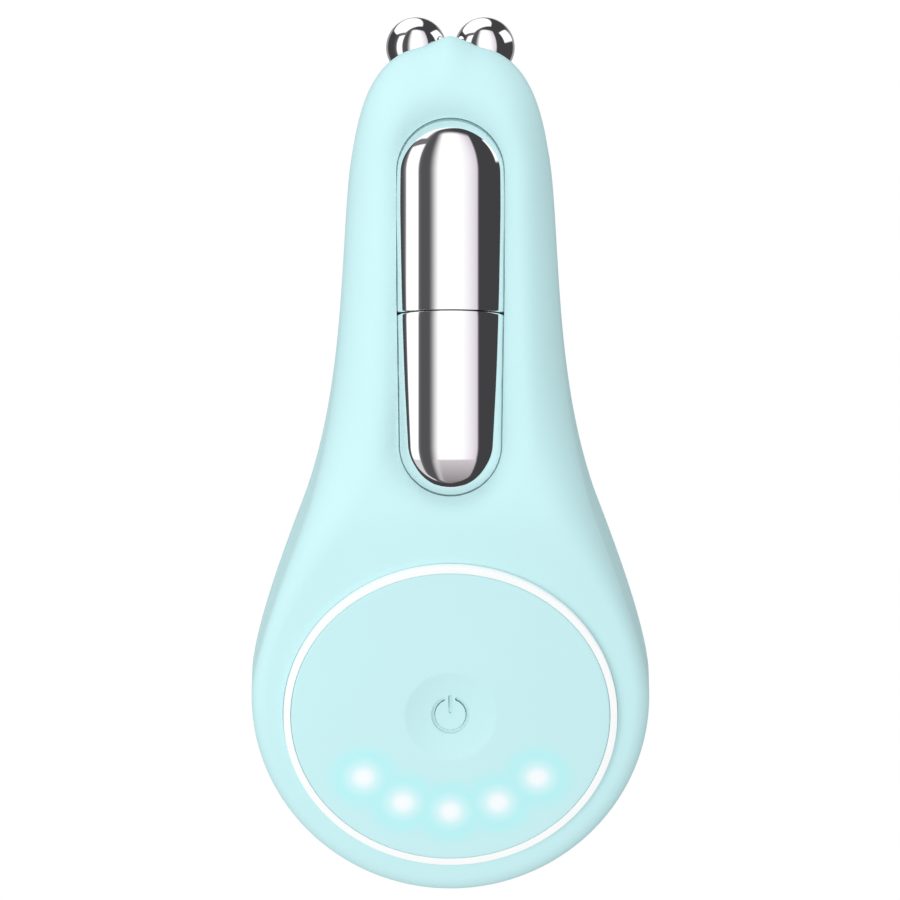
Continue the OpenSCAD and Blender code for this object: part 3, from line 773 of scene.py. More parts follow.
def varied(base: Colour, shift: float) -> tuple[Colour, Colour]:
    """Returns a darker and a lighter kind of a colour."""
    return tuple(c * (1 - shift) for c in base), tuple(min(c * (1 + shift), 1.0) for c in base)


class Texture(Enum):
    """How the surface of a finish varies."""

    GRAIN = "grain"
    BRUSHED = "brushed"
    CRINKLE = "crinkle"
    FOAM = "foam"
    TRACES = "traces"
    STRIPES = "stripes"


@dataclass(frozen=True)
class Finish:
    """A finish of the inner parts, with its surface detail."""

    name: str
    base: Colour
    metallic: float = 0.0
    roughness: Pair = (0.4, 0.5)
    coat: float = 0.0
    texture: Texture = Texture.GRAIN
    size_mm: float = 0.5
    depth_mm: float = 0.004
    shift: float = 0.06

    def build(self) -> Material:
        """Lays the finish.

        Returns:
            Its material.
        """
        surface = Surface(self.name)
        pattern = self._pattern(surface)
        surface.set("Metallic", self.metallic)
        surface.set("Coat Weight", self.coat)
        surface.set("Roughness", surface.spread(pattern, *self.roughness))
        share = surface.spread(pattern, 0, 1)
        surface.set("Base Color", surface.mix(share, *varied(self.base, self.shift)))
        surface.bump(pattern, self.depth_mm)
        return surface.material

    def _pattern(self, nodes: Nodes) -> Socket:
        """Lays the nodes of the texture.

        Args:
            nodes: The nodes of the material.

        Returns:
            The texture's value.
        """
        scale = 1.0 / (self.size_mm * MM)
        match self.texture:
            case Texture.BRUSHED:
                return nodes.noise(self.size_mm, 2.0, (1, 0.04, 1))
            case Texture.CRINKLE:
                return nodes.noise(self.size_mm, 5.0, (1, 0.6, 1))
            case Texture.FOAM | Texture.TRACES:
                distance = "CHEBYCHEV" if self.texture is Texture.TRACES else "EUCLIDEAN"
                node = nodes.add("TexVoronoi", distance=distance, in_Scale=scale)
                result = node.outputs["Distance"]
            case Texture.STRIPES:
                node = nodes.add("TexWave", in_Scale=scale / STRIPE_SCALE, in_Distortion=0.0)
                result = node.outputs["Fac"]
            case _:
                return nodes.noise(self.size_mm)
        nodes.link(nodes.object_point(), node.inputs["Vector"])
        return result


@dataclass(frozen=True)
class SoftTouch:
    """The pale mint soft-touch skin of the housing and the disc."""

    name: str = "soft_touch"
    base: Colour = (0.60, 0.905, 0.93)
    lit: Colour = (0.512, 0.94, 0.96)
    glow: Colour = (1.0, 0.20, 0.22)
    # colour of the painted shade on the symbol's walls that face away from the key lamp
    painted_shade: Colour = (0.13, 0.22, 0.23)
    shift: float = 0.006
    grain_mm: float = 0.12
    grain_depth_mm: float = 0.003
    grain_bump: float = 0.5
    cloud_mm: float = 18.0
    roughness: Pair = (0.50, 0.58)
    specular: float = 0.3
    sheen: float = 0.05
    sheen_roughness: float = 0.5
    core_mm: Pair = (0.6, 2.15)
    haze_mm: Pair = (1.6, 3.6)
    halo_mm: Pair = (3.3, 6.2)
    core_glow: float = 0.28
    haze_glow: float = 0.16
    symbol_mm: Pair = (3.3, 3.9)
    # direction away from the key lamp; walls facing it get the painted shade
    lee: tuple[float, float, float] = (0.45, -0.50, -0.13)
    steep: Pair = (0.10, 0.25)

    def build(self, lamps: Sequence[Array] = (), symbol: Array | None = None) -> Material:
        """Lays the skin.

        Args:
            lamps: Points in metres that glow through it.
            symbol: The middle of the engraved symbol, in metres.

        Returns:
            Its material.
        """
        surface = Surface(self.name + ("_lit" if lamps else ""))
        grain = surface.noise(self.grain_mm, 4.0)
        cloud = surface.noise(self.cloud_mm, 2.0)
        surface.set("Roughness", surface.spread(grain, *self.roughness))
        surface.set("Specular IOR Level", self.specular)
        surface.set("Sheen Weight", self.sheen)
        surface.set("Sheen Roughness", self.sheen_roughness)
        colour = surface.mix(surface.spread(cloud, 0, 1), *varied(self.base, self.shift))
        if lamps:
            colour = self._glow(surface, colour, lamps)
        # painted shade: the symbol's walls that face away from the key lamp are darkened in the colour
        if symbol is not None:
            colour = self._paint_groove_shade(surface, colour, symbol)
        surface.set("Base Color", colour)
        surface.bump(grain, self.grain_depth_mm, self.grain_bump)
        return surface.material

    def _glow(self, surface: Surface, colour: Socket, lamps: Sequence[Array]) -> Socket:
        """Lays the light of the lamps.

        Args:
            surface: The nodes of the skin.
            colour: The skin's own colour.
            lamps: The points over the lamps.

        Returns:
            The colour of the skin, with a halo round each lamp.
        """
        point = surface.object_point()
        nearest, *others = [surface.vector("DISTANCE", point, tuple(lamp)) for lamp in lamps]
        for other in others:
            nearest = surface.math("MINIMUM", nearest, other)
        core, haze, halo = (self._fade(surface, nearest, reach)
                            for reach in (self.core_mm, self.haze_mm, self.halo_mm))
        surface.set("Emission Color", (*self.glow, 1.0))
        surface.set("Emission Strength", surface.math(
            "ADD",
            surface.math("MULTIPLY", core, self.core_glow),
            surface.math("MULTIPLY", haze, self.haze_glow),
        ))
        return surface.mix(halo, colour, self.lit)

    @staticmethod
    def _fade(nodes: Nodes, away: Socket, reach: Pair) -> Socket:
        """Returns 1 up to the first distance in millimetres, and 0 from the second on."""
        return nodes.ramp(away, (reach[0] * MM, reach[1] * MM), (1.0, 0.0), "SMOOTHSTEP")

    def _paint_groove_shade(self, nodes: Nodes, colour: Socket, centre: Array) -> Socket:
        """Paints shade on the steep walls of the engraved symbol that face away from its centre and the key
        lamp.

        Args:
            nodes: The nodes of the skin.
            colour: The skin's own colour.
            centre: The middle of the symbol.

        Returns:
            The colour of the skin, with painted shade in the symbol's groove.
        """
        normal = nodes.add("NewGeometry").outputs["Normal"]
        offset = nodes.vector("SUBTRACT", nodes.object_point(), tuple(centre))
        radial = nodes.vector("DOT_PRODUCT", nodes.vector("NORMALIZE", offset), normal)
        lee = nodes.vector("DOT_PRODUCT", normal, self.lee)
        steep = nodes.ramp(nodes.math("ADD", radial, lee), self.steep, (0.0, 1.0))
        near = self._fade(nodes, nodes.vector("LENGTH", offset), self.symbol_mm)
        return nodes.mix(nodes.math("MULTIPLY", steep, near), colour, self.painted_shade)


@dataclass(frozen=True)
class Polished:
    """Mirror-bright plating with hairlines too fine to see singly."""

    name: str = "polished_plating"
    base: Colour = (0.985, 0.985, 0.99)
    roughness: Pair = (0.025, 0.05)
    wear_mm: float = 2.5

    def build(self) -> Material:
        """Lays the plating.

        Returns:
            Its material.
        """
        surface = Surface(self.name)
        surface.set("Metallic", 1.0)
        surface.set("Base Color", (*self.base, 1.0))
        wear = surface.noise(self.wear_mm, 4.0, (1, 0.15, 1))
        surface.set("Roughness", surface.spread(wear, *self.roughness))
        return surface.material


@dataclass(frozen=True)
class Diffuser:
    """The milky plastic of the light ring, lit from inside."""

    name: str = "milky_diffuser"
    base: Colour = (0.90, 0.915, 0.915)
    light: Colour = (0.97, 1.0, 1.0)
    glow: Pair = (0.1152, 0.1248)
    haze_mm: float = 4.0
    roughness: Pair = (0.22, 0.30)

    def build(self) -> Material:
        """Lays the lit plastic.

        Returns:
            Its material.
        """
        surface = Surface(self.name)
        haze = surface.noise(self.haze_mm, 2.0)
        surface.set("Roughness", surface.spread(haze, *self.roughness))
        surface.set("Base Color", (*self.base, 1.0))
        surface.set("Emission Color", (*self.light, 1.0))
        surface.set("Emission Strength", surface.spread(haze, *self.glow))
        return surface.material


INNER_FINISHES: dict[str, Finish] = {
    "seal": Finish("seal_rubber", (0.36, 0.58, 0.61), roughness=(0.6, 0.72), size_mm=0.3),
    "white_plastic": Finish("white_moulding", (0.84, 0.84, 0.81), roughness=(0.38, 0.5), size_mm=0.4),
    "black_plastic": Finish("part_epoxy", (0.018, 0.018, 0.02), roughness=(0.35, 0.5), size_mm=0.2),
    "carrier_plastic": Finish("dark_moulding", (0.03, 0.032, 0.035), roughness=(0.42, 0.55), size_mm=0.4),
    "circuit_board": Finish("solder_mask", (0.02, 0.13, 0.06), roughness=(0.22, 0.34), coat=0.4,
                            texture=Texture.TRACES, size_mm=1.6, depth_mm=0.02, shift=0.25),
    "lamp": Finish("lamp_body", (0.86, 0.95, 0.9), roughness=(0.15, 0.25), coat=0.5, size_mm=0.4),
    "steel": Finish("bright_steel", (0.60, 0.61, 0.63), metallic=1.0, roughness=(0.22, 0.36),
                    texture=Texture.BRUSHED, size_mm=0.25),
    "brass": Finish("turned_brass", (0.76, 0.55, 0.23), metallic=1.0, roughness=(0.2, 0.32),
                    texture=Texture.BRUSHED, size_mm=0.2),
    "flex_film": Finish("flex_film", (0.42, 0.17, 0.03), roughness=(0.2, 0.3), coat=0.3,
                        texture=Texture.STRIPES, size_mm=0.8, depth_mm=0.02, shift=0.3),
    "cell_foil": Finish("cell_foil", (0.62, 0.64, 0.66), metallic=0.9, roughness=(0.3, 0.46),
                        texture=Texture.CRINKLE, size_mm=5.0, depth_mm=0.15),
    "foam": Finish("black_foam", (0.02, 0.02, 0.022), roughness=(0.85, 0.95), texture=Texture.FOAM,
                   size_mm=0.4, depth_mm=0.08, shift=0.3),
    "red_lead": Finish("red_insulation", (0.46, 0.02, 0.015), roughness=(0.32, 0.42), size_mm=0.3),
    "black_lead": Finish("black_insulation", (0.015, 0.015, 0.016), roughness=(0.3, 0.4), size_mm=0.3),
    "blue_lead": Finish("blue_insulation", (0.02, 0.07, 0.36), roughness=(0.32, 0.42), size_mm=0.3),
    "yellow_lead": Finish("yellow_insulation", (0.66, 0.42, 0.02), roughness=(0.32, 0.42), size_mm=0.3),
}


# ------------------------------------------------------------------ sub-assemblies


@dataclass
class Housing:
    """The two moulded shells."""

    skin: Material
    pad_fit: float = 0.003
    ring_fit: float = 0.09
    seat_fit: float = 0.15
    cut_reach: float = 8.0
    chamfer: float = 0.12
    lip_h: float = 0.9
    lip_t: float = 1.0
    lip_root: Pair = (2.0, 3.0)
    inner_r: float = 1.5
    heart: float = 0.96
    inner_steps: tuple[float, ...] = (0.6, 0.3, 0.12)
    under_steps: int = 6
    edge_steps: int = 18
    top_steps: int = 30
    back_stops: Pair = (0.9, 0.4)
    back_steps: int = 12
    hole_turns: int = 256
    plug_turns: int = 64
    plug_r: float = 2.1
    plug_z: Pair = (-1.0, 2.6)
    screw_inset: float = 6.2
    screw_under_ridge: float = 4.0
    screw_under_nose: float = 12.8
    socket: tuple[float, float, float] = (9.4, 3.6, 1.5)
    socket_z: float = 6.2
    socket_depth: float = 5.0

    def front(self) -> Object:
        """Builds the front shell, with its round hole, the electrodes' hole and the ball seats.

        Returns:
            The shell.
        """
        f = FORM
        foot = f.part_z + f.seam / 2
        rings = [f.front_ring(1, g, f.wall) for g in (self.heart, *self.inner_steps)]
        rings += [f.front_ring(k / self.under_steps, 0, f.wall) for k in range(self.under_steps, -1, -1)]
        rings += [
            f.level_ring(f.wall, foot),
            f.level_ring(self.chamfer, foot),
            f.level_ring(0, foot + self.chamfer),
        ]
        rings += [f.front_ring(k / self.edge_steps, 0) for k in range(self.edge_steps + 1)]
        rings += [f.front_ring(1, self.heart * k / self.top_steps) for k in range(1, self.top_steps + 1)]
        shell = lofted("front_casing", rings)
        cut(shell, [
            drill(f.ring_out + self.ring_fit, -self.cut_reach, self.cut_reach, FACE, self.hole_turns),
            prism("hole", f.pad_outline(self.pad_fit), -self.cut_reach, self.cut_reach, NECK),
            *self._ball_seats(),
        ])
        return install(shell, "front_shell", BODY, self.skin, 35)

    def back(self) -> Object:
        """Builds the back shell, with its plug holes, the socket's opening and the ball seats.

        Returns:
            The shell.
        """
        f = FORM
        top = f.part_z - f.seam / 2
        lip = f.wall + f.fit
        rings = [f.level_ring(f.back_r, 0, g) for g in self.back_stops]
        rings += [f.level_ring(f.back_r * (1 - math.sin(a)), f.back_r * (1 - math.cos(a)))
                  for a in np.radians(np.linspace(0, 90, self.back_steps + 1))]
        rings += [f.level_ring(*inset_and_height) for inset_and_height in (
            (0, top - self.chamfer),
            (self.chamfer, top),
            (lip, top),
            (lip, f.part_z + self.lip_h),
            (lip + self.lip_t, f.part_z + self.lip_h),
            (f.wall + self.lip_t, f.part_z - self.lip_root[0]),
            (f.wall, f.part_z - self.lip_root[1]),
            (f.wall, f.wall + self.inner_r),
        )]
        rings += [f.level_ring(f.wall + self.inner_r, f.wall, g) for g in (0.0, 0.5, 0.9)]
        shell = lofted("back_casing", rings)
        opening = Place(-1.0, self.socket_z, math.radians(-90))
        cut(shell, [
            *(drill(self.plug_r + f.fit, *self.plug_z, LEVEL, self.plug_turns, (x, y, 0))
              for x, y in self._screws()),
            prism("hole", round_box(*self.socket), 0, self.socket_depth, opening),
            *self._ball_seats(),
        ])
        return install(shell, "back_shell", BODY, self.skin, 35)

    def _screws(self) -> list[Pair]:
        """Finds where the three shell screws stand.

        Returns:
            Their places in plan.
        """
        y = FORM.ridge_y - self.screw_under_ridge
        half = FORM.outline[: FORM.half_points + 1]
        x = float(np.interp(y, half[:, 1], half[:, 0])) - self.screw_inset
        return [(-x, y), (x, y), (0.0, FORM.nose_y - self.screw_under_nose)]

    def _ball_seats(self) -> list[Object]:
        """Makes the cutters of the two hollows that the balls sit in.

        Returns:
            The cutters.
        """
        return [
            ball_cutter(FORM.ball_r + self.seat_fit, (side * FORM.ball_pitch / 2, FORM.ball_y, FORM.ball_z))
            for side in (-1, 1)
        ]


@dataclass
class FaceButton:
    """The push disc, with its finger dimple, power symbol and lit points."""

    proud: float = FORM.disc_proud
    thick: float = 1.8
    lip: float = 0.9
    lip_out: float = 0.42
    skirt: float = 1.1
    foot: float = -2.53
    stem_r: float = 2.0
    stem_h: float = 1.0
    edge_r: float = 0.2
    dimple_r: float = 6.55
    dimple_long: float = 1.07
    dimple_h: float = 1.1
    dimple_rim: float = 0.03
    dimple_margin: float = 0.2
    symbol_y: float = -0.2
    symbol_long: float = 1.1
    symbol_r: float = 2.47
    symbol_w: float = 0.47
    symbol_h: float = 0.25
    symbol_wall: float = 0.09
    symbol_gap: float = math.radians(23)
    symbol_reach: float = 3.3
    bar: Pair = (0.42, 2.62)
    lamps: int = 5
    lamp_r: float = 16.95
    lamp_step: float = 23.7
    lamp_up: float = 1.66
    steps: tuple[int, int, int, int] = (106, 17, 26, 18)
    edge_steps: int = 9
    turns: int = 384

    def lamp_points(self) -> list[Array]:
        """Finds the points of the skin over the lamps.

        Returns:
            The points in metres.
        """
        first = -90 - self.lamp_step * (self.lamps - 1) / 2
        found = []
        for i in range(self.lamps):
            a = math.radians(first + i * self.lamp_step)
            point = (self.lamp_r * math.cos(a), self.lamp_up + self.lamp_r * math.sin(a), self.proud)
            found.append(to_scene(FACE.to_body(point))[0])
        return found

    def symbol_point(self) -> Array:
        """Returns the middle of the symbol, in metres."""
        return to_scene(FACE.to_body((0.0, self.symbol_y, self.proud - self.dimple_h)))[0]

    def _hollow(self, points: Array) -> Array:
        """Sinks the dimple and the symbol's groove into the top.

        Args:
            points: The disc's points, in the frame of the face.

        Returns:
            The same points, moved.
        """
        x, y = points[:, 0], points[:, 1]
        r_dish = np.hypot(x, y / self.dimple_long)
        ball = (self.dimple_r**2 + self.dimple_h**2) / (2 * self.dimple_h)
        dish = np.sqrt(np.maximum(ball**2 - r_dish**2, 0)) - (ball - self.dimple_h)
        dish = (dish + np.hypot(dish, self.dimple_rim)) / 2
        y = (y - self.symbol_y) / self.symbol_long
        angle = np.abs(np.arctan2(x, y))
        tip = self.symbol_r * np.array([math.sin(self.symbol_gap), math.cos(self.symbol_gap)])
        to_tip = np.hypot(np.abs(x) - tip[0], y - tip[1])
        to_arc = np.where(angle < self.symbol_gap, to_tip, np.abs(np.hypot(x, y) - self.symbol_r))
        away = np.minimum(to_arc, np.hypot(x, y - np.clip(y, *self.bar)))
        groove = self.symbol_h * smooth((self.symbol_w / 2 - away) / self.symbol_wall + 0.5)
        top = points[:, 2] > self.proud - TINY
        points[:, 2] -= np.where(top, dish + groove, 0.0)
        return points

    def build(self, skin: Material) -> Object:
        """Builds the disc and its plunger.

        Args:
            skin: The disc's lit skin.

        Returns:
            The disc.
        """
        r = FORM.disc_r
        under = self.proud - self.thick
        stops = [
            0.0, self.symbol_reach, self.dimple_r - self.dimple_margin,
            self.dimple_r * self.dimple_long + self.dimple_margin, r - self.edge_r,
        ]
        last = len(self.steps) - 1
        profile = [
            (float(q), self.proud)
            for k, (low, high, steps) in enumerate(zip(stops, stops[1:], self.steps))
            for q in np.linspace(low, high, steps, endpoint=k == last)
        ]
        profile += rounded(r, self.proud, self.edge_r, -1, self.edge_steps)[-2::-1]
        profile += [
            (r, self.foot + self.lip), (r + self.lip_out, self.foot + self.lip),
            (r + self.lip_out, self.foot), (r - self.skirt, self.foot),
            (r - self.skirt, under), (self.stem_r, under),
            (self.stem_r, under - self.stem_h), (0.0, under - self.stem_h),
        ]
        disc = lathed("push_button", profile, FACE, self.turns, lift=self._hollow)
        return install(disc, "push_disc", BUTTON, skin, 50)


@dataclass
class LightRing:
    """The milky ring round the disc."""

    top: float = FORM.disc_proud
    round_r: float = 0.05
    ledge: float = -1.55
    foot: float = -3.03
    flange: float = 0.6
    flange_z: float = -2.6
    step: float = 0.5
    round_steps: int = 7
    turns: int = 256

    def build(self, material: Material) -> Object:
        """Builds the ring with softly rounded edges.

        Args:
            material: The lit plastic.

        Returns:
            The ring.
        """
        inner, outer = FORM.ring_in, FORM.ring_out
        profile = rounded(inner, self.top, self.round_r, 1, self.round_steps)
        profile += rounded(outer, self.top, self.round_r, -1, self.round_steps)[::-1]
        profile += [
            (outer, self.flange_z), (outer + self.flange, self.flange_z),
            (outer + self.flange, self.foot), (inner + self.step, self.foot),
            (inner + self.step, self.ledge), (inner, self.ledge),
        ]
        ring = lathed("lit_ring", profile, FACE, self.turns, joined=True)
        return install(ring, "light_ring", BODY, material)


@dataclass
class NeckElectrodes:
    """The two halves of the long neck electrode."""

    plating: Material
    gap_at: float = -0.89
    gap: float = 0.15
    lean: float = 0.123
    lean_run: float = 8.0
    skirt: float = 1.2
    trim: float = 0.01
    edge_crown: float = 0.05
    edge_side: float = 0.36
    crown_r: float = 9.77
    rim_at: float = 6.88
    rim_taper: float = 1.05
    rim_taper_from: float = 18.3
    rim_taper_run: float = 38.1
    rim_taper_power: float = 1.8
    rim_ends: Pair = (0.5, 0.3)
    rim_blend: float = 0.3
    rim_slopes: Pair = (0.725, 0.906)
    arch_steps: tuple[int, int, int] = (34, 5, 10)
    arc_steps: int = 72
    run_steps: int = 24
    edge_steps: int = 6

    def half(self, name: str, node: str, upward: bool) -> Object:
        """Builds one half.

        Args:
            name: The piece's name.
            node: The CAD node that it stands for.
            upward: Whether it is the half towards the nose.

        Returns:
            The half.
        """
        sign = 1.0 if upward else -1.0
        start = sign * self.gap_at + self.gap / 2
        points = self._grid(sign, start)
        rows, columns = points.shape[:2]
        flat = points.reshape(-1, 3)
        fade = smooth(1 - (flat[:, 1] - start) / self.lean_run)
        flat[:, 1] = sign * flat[:, 1] + self.lean * (flat[:, 2] + FORM.trough_h) * fade
        faces = loop_faces(rows, columns, closed=False)
        faces.append([r * columns for r in range(rows)]
                     + [(r + 1) * columns - 1 for r in reversed(range(rows))])
        faces.append([(rows - 1) * columns + i for i in range(columns)])
        piece = new_object(name, NECK.to_body(flat), faces)
        return install(piece, node, BODY, self.plating)

    def _profile(self, q: float, turn: float = 0.0) -> Array:
        """Draws the arch at one place.

        Args:
            q: How far the place lies above the electrodes' middle.
            turn: The angle round the end, from 0 at one side to pi at the other.

        Returns:
            Rows of distance from the middle, drop from the crown and slope.
        """
        reach = float(FORM.pad_reach(q)) - self.trim
        down = np.clip((self.rim_taper_from - q) / self.rim_taper_run, 0, 1)
        rim = self.rim_at - self.rim_taper * down**self.rim_taper_power
        rim -= self.rim_ends[0 if q > 0 else 1] * math.sin(turn) ** 2
        bounds = [0.0, rim - self.rim_blend, rim, reach]
        x = np.concatenate([np.linspace(low, high, steps, endpoint=False)
                            for low, high, steps in zip(bounds, bounds[1:], self.arch_steps)] + [[reach]])
        slope = np.arcsin(np.interp(x, bounds, [0.0, bounds[1] / self.crown_r, *self.rim_slopes]))
        fall = np.tan(slope)
        drop = np.concatenate([[0.0], np.cumsum(np.diff(x) * (fall[1:] + fall[:-1]) / 2)])
        return np.array([x, drop, slope])

    def _grid(self, sign: float, start: float) -> Array:
        """Lays out the points of a half.

        Args:
            sign: 1 for the half towards the nose, and -1 for the other.
            start: Where the half starts, at the gap.

        Returns:
            The points in the half's own direction, in rows from the crown's line to the foot's.
        """
        top = FORM.pad_h - FORM.trough_h
        cap = FORM.pad_l / 2 - float(FORM.pad_reach(sign * FORM.pad_l / 2))
        stations = []
        for t in np.radians(np.linspace(0, 90, self.edge_steps, endpoint=False)):
            x, drop, slope = self._profile(sign * start)
            edge = self._edge(x)
            inset = edge * (1 - math.sin(t))
            stations.append(np.column_stack([
                np.maximum(x - np.sin(slope) * inset, 0), start + edge * (1 - math.cos(t)),
                top - drop - np.cos(slope) * inset,
            ]))
        for share in np.linspace(0, 1, self.run_steps + 1):
            x, drop, _ = self._profile(sign * (start + share * (cap - start)))
            from_q = start + self._edge(x)
            stations.append(np.column_stack([x, from_q + share * (cap - from_q), top - drop]))
        side = len(stations)
        for a in np.linspace(0, math.pi, self.arc_steps + 1)[1:-1]:
            x, drop, _ = self._profile(sign * cap, a)
            stations.append(np.column_stack([x * math.cos(a), cap + x * math.sin(a), top - drop]))
        stations += [line * [-1, 1, 1] for line in reversed(stations[:side])]
        feet = [np.vstack([line, [*line[-1, :2], -FORM.trough_h - self.skirt]]) for line in stations]
        return np.array(feet).transpose(1, 0, 2)

    def _edge(self, x: Array) -> Array:
        """Returns the radius of the rounded edge at the gap, at distances from the middle."""
        return self.edge_crown + (self.edge_side - self.edge_crown) * (x / FORM.pad_r) ** 4


@dataclass
class TipBalls:
    """The two ball electrodes with their studs."""

    plating: Material
    stud_r: float = 1.2
    stud_end: float = 16.45
    arc_steps: int = 73
    turns: int = 128

    def ball(self, name: str, node: str, side: int) -> Object:
        """Builds one ball.

        Args:
            name: The piece's name.
            node: The CAD node that it stands for.
            side: -1 for the left one and 1 for the right one.

        Returns:
            The ball.
        """
        f = FORM
        meet = math.asin(self.stud_r / f.ball_r)
        profile = [(f.ball_r * math.sin(a), f.ball_r * math.cos(a))
                   for a in np.linspace(0, math.pi - meet, self.arc_steps)]
        profile += [(self.stud_r, -self.stud_end), (0.0, -self.stud_end)]
        place = Place(f.ball_y, f.ball_z, math.radians(-90))
        ball = lathed(name, profile, place, self.turns, (side * f.ball_pitch / 2, 0, 0))
        return install(ball, node, BODY, self.plating)


@dataclass
class InnerParts:
    """The pieces inside, which keep the frame's own solids."""

    finishes: dict[str, Finish] = field(default_factory=lambda: INNER_FINISHES)

    def dress_all(self, frame: dict) -> int:
        """Gives each inner node the finish of its slot.

        Args:
            frame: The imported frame.

        Returns:
            How many nodes there are.
        """
        materials = {slot: finish.build() for slot, finish in self.finishes.items()}
        inner = [part for part in frame["record"]["subparts"] if part["material_slot"] in materials]
        for part in inner:
            dress(frame["nodes"][part["node"]], materials[part["material_slot"]])
        return len(inner)


# ------------------------------------------------------------------ studio


@dataclass(frozen=True)
class Edge:
    """A soft edge of something that the plating mirrors."""

    at: float
    soft: float

    def above(self, value: Array) -> Array:
        """Returns 1 where a value lies above the edge, and 0 below it."""
        return smooth((value - self.at) / self.soft + 0.5)

    def below(self, value: Array) -> Array:
        """Returns 1 where a value lies below the edge, and 0 above it."""
        return smooth((self.at - value) / self.soft + 0.5)


@dataclass
class ReflectionTent:
    """What the plating mirrors: a dark tent with white panels, seen by reflections alone.

    Directions are in the view's own frame: X to the right, Y up the device and Z to the camera. Edges are
    in degrees, or in shares of a direction's parts.
    """

    radius: float = 2.0
    step: float = 1.5
    tint: Colour = (1.0, 0.97, 1.03)
    fabric: float = 0.052
    lit_fabric: float = 0.085
    lit_left: Edge = Edge(-95.0, 20.0)
    lit_right: Edge = Edge(0.0, 50.0)
    halo: float = 0.17
    halo_left: Edge = Edge(-86.0, 5.0)
    halo_right: Edge = Edge(-53.0, 10.0)
    white: float = 1.12
    horizon: Edge = Edge(-0.216, 0.02)
    wide_left: Edge = Edge(-26.6, 21.0)
    wide_right: Edge = Edge(46.9, 4.0)
    wide_top: Edge = Edge(70.0, 7.0)
    wide_taper: float = 0.07
    blush: Colour = (0.38, 0.44, 0.375)
    blush_across: Pair = (8.0, 38.0)
    blush_power: float = 1.4
    beneath_near: Colour = (0.62, 0.57, 0.60)
    beneath_far: Colour = (0.22, 0.20, 0.21)
    beneath_run: float = 0.38
    strip_left: Edge = Edge(0.173, 0.06)
    strip_right: Edge = Edge(0.69, 0.06)
    strip_foot: Edge = Edge(-3.0, 0.08)
    strip_top: Edge = Edge(0.52, 0.08)
    strip_lean: float = 0.95
    strip_beneath: float = 0.66
    card_soft: float = 0.08
    top_corners: tuple[Pair, ...] = ((-0.68, 0.36), (-1.45, -0.26), (-1.25, -1.35), (-0.25, -2.3),
                                     (0.1, -1.3), (0.28, -0.4), (0.29, -0.04))
    side_corners: tuple[Pair, ...] = ((1.06, 0.16), (0.25, 0.08), (0.3, -1.4), (0.9, -1.0))
    behind: Edge = Edge(154.0, 8.0)
    behind_level: float = 0.40
    beside: Edge = Edge(140.0, 6.0)
    beside_width: Edge = Edge(0.725, 0.25)
    beside_level: float = 0.32

    def build(self, turn: Matrix) -> Object:
        """Builds the tent.

        Args:
            turn: The turn from the view's frame to the scene's.

        Returns:
            The tent.
        """
        around = np.radians(np.arange(0, 360, self.step))
        rows = [
            np.column_stack([np.sin(p) * np.cos(around), np.sin(p) * np.sin(around),
                             np.full(len(around), np.cos(p))])
            for p in np.radians(np.arange(0, 180 + self.step, self.step))
        ]
        directions = np.vstack(rows)
        mesh = bpy.data.meshes.new("reflection_tent")
        corners = [tuple(turn @ Vector(d) * self.radius) for d in directions]
        mesh.from_pydata(corners, [], loop_faces(len(rows), len(around)))
        colours = mesh.color_attributes.new("panel", "FLOAT_COLOR", "POINT")
        values = np.column_stack([self._levels(directions), np.ones(len(directions))])
        colours.data.foreach_set("color", values.astype(np.float32).ravel())
        tent = bpy.data.objects.new("reflection_tent", mesh)
        bpy.context.scene.collection.objects.link(tent)
        for kind in ("camera", "diffuse", "transmission", "volume_scatter", "shadow"):
            setattr(tent, "visible_" + kind, False)
        surface = Surface("tent_panels")
        glow = surface.add("Emission")
        surface.link(surface.add("VertexColor", layer_name="panel").outputs["Color"], glow.inputs["Color"])
        surface.link(glow.outputs[0], surface.output.inputs["Surface"])
        mesh.materials.append(surface.material)
        return tent

    def _levels(self, directions: Array) -> Array:
        """Works out the colour that each direction shows.

        Args:
            directions: Unit vectors, one to a row.

        Returns:
            The colours, one to a row.
        """
        x, y, z = directions.T
        across = np.degrees(np.arctan2(x, z))
        polar = np.degrees(np.arccos(np.clip(z, -1, 1)))
        sideways = np.abs(np.cos(np.arctan2(y, x)))
        rise = y / np.sqrt(np.maximum(2 * (1 + z), TINY))
        under = self.horizon.below(rise)
        wide, strip = self._wide_panel(x, y, z), self._strip(x, y, z)
        level = self._fabric(across)
        layers = (
            (wide, self._overhead(across)),
            (wide * under, self._beneath(rise)),
            (strip, self.white),
            (strip * under, self.strip_beneath),
            (self._card(x, z, y, self.top_corners), self.white),
            (self._card(y, z, x, self.side_corners), self.white),
            (self.behind.above(polar), self.behind_level),
            (self.beside.above(polar) * self.beside_width.above(sideways), self.beside_level),
        )
        for share, colour in layers:
            level = level * (1 - share[:, None]) + colour * share[:, None]
        return level

    def _fabric(self, across: Array) -> Array:
        """Shades the dark fabric, which is a little lighter to the left and round the strip.

        Args:
            across: How far each direction leans to the right, in degrees.

        Returns:
            The colours, one to a row.
        """
        lit = self.lit_left.above(across) * self.lit_right.below(across)
        around = self.halo_left.above(across) * self.halo_right.below(across)
        level = self.fabric + (self.lit_fabric - self.fabric) * lit
        level += (self.halo - level) * around
        return level[:, None] * np.array(self.tint)

    def _overhead(self, across: Array) -> Array:
        """Colours the wide panel, which blushes towards its right edge.

        Args:
            across: How far each direction leans to the right, in degrees.

        Returns:
            The colours, one to a row.
        """
        start, run = self.blush_across
        share = np.clip((across - start) / run, 0, 1)[:, None] ** self.blush_power
        return self.white * (1 - share * np.array(self.blush))

    def _beneath(self, rise: Array) -> Array:
        """Colours what lies under the horizon, in front of the wide panel.

        Args:
            rise: How far each direction leans up.

        Returns:
            The colours, one to a row.
        """
        low = np.clip((self.horizon.at - rise) / self.beneath_run, 0, 1)[:, None]
        return np.array(self.beneath_near) * (1 - low) + np.array(self.beneath_far) * low

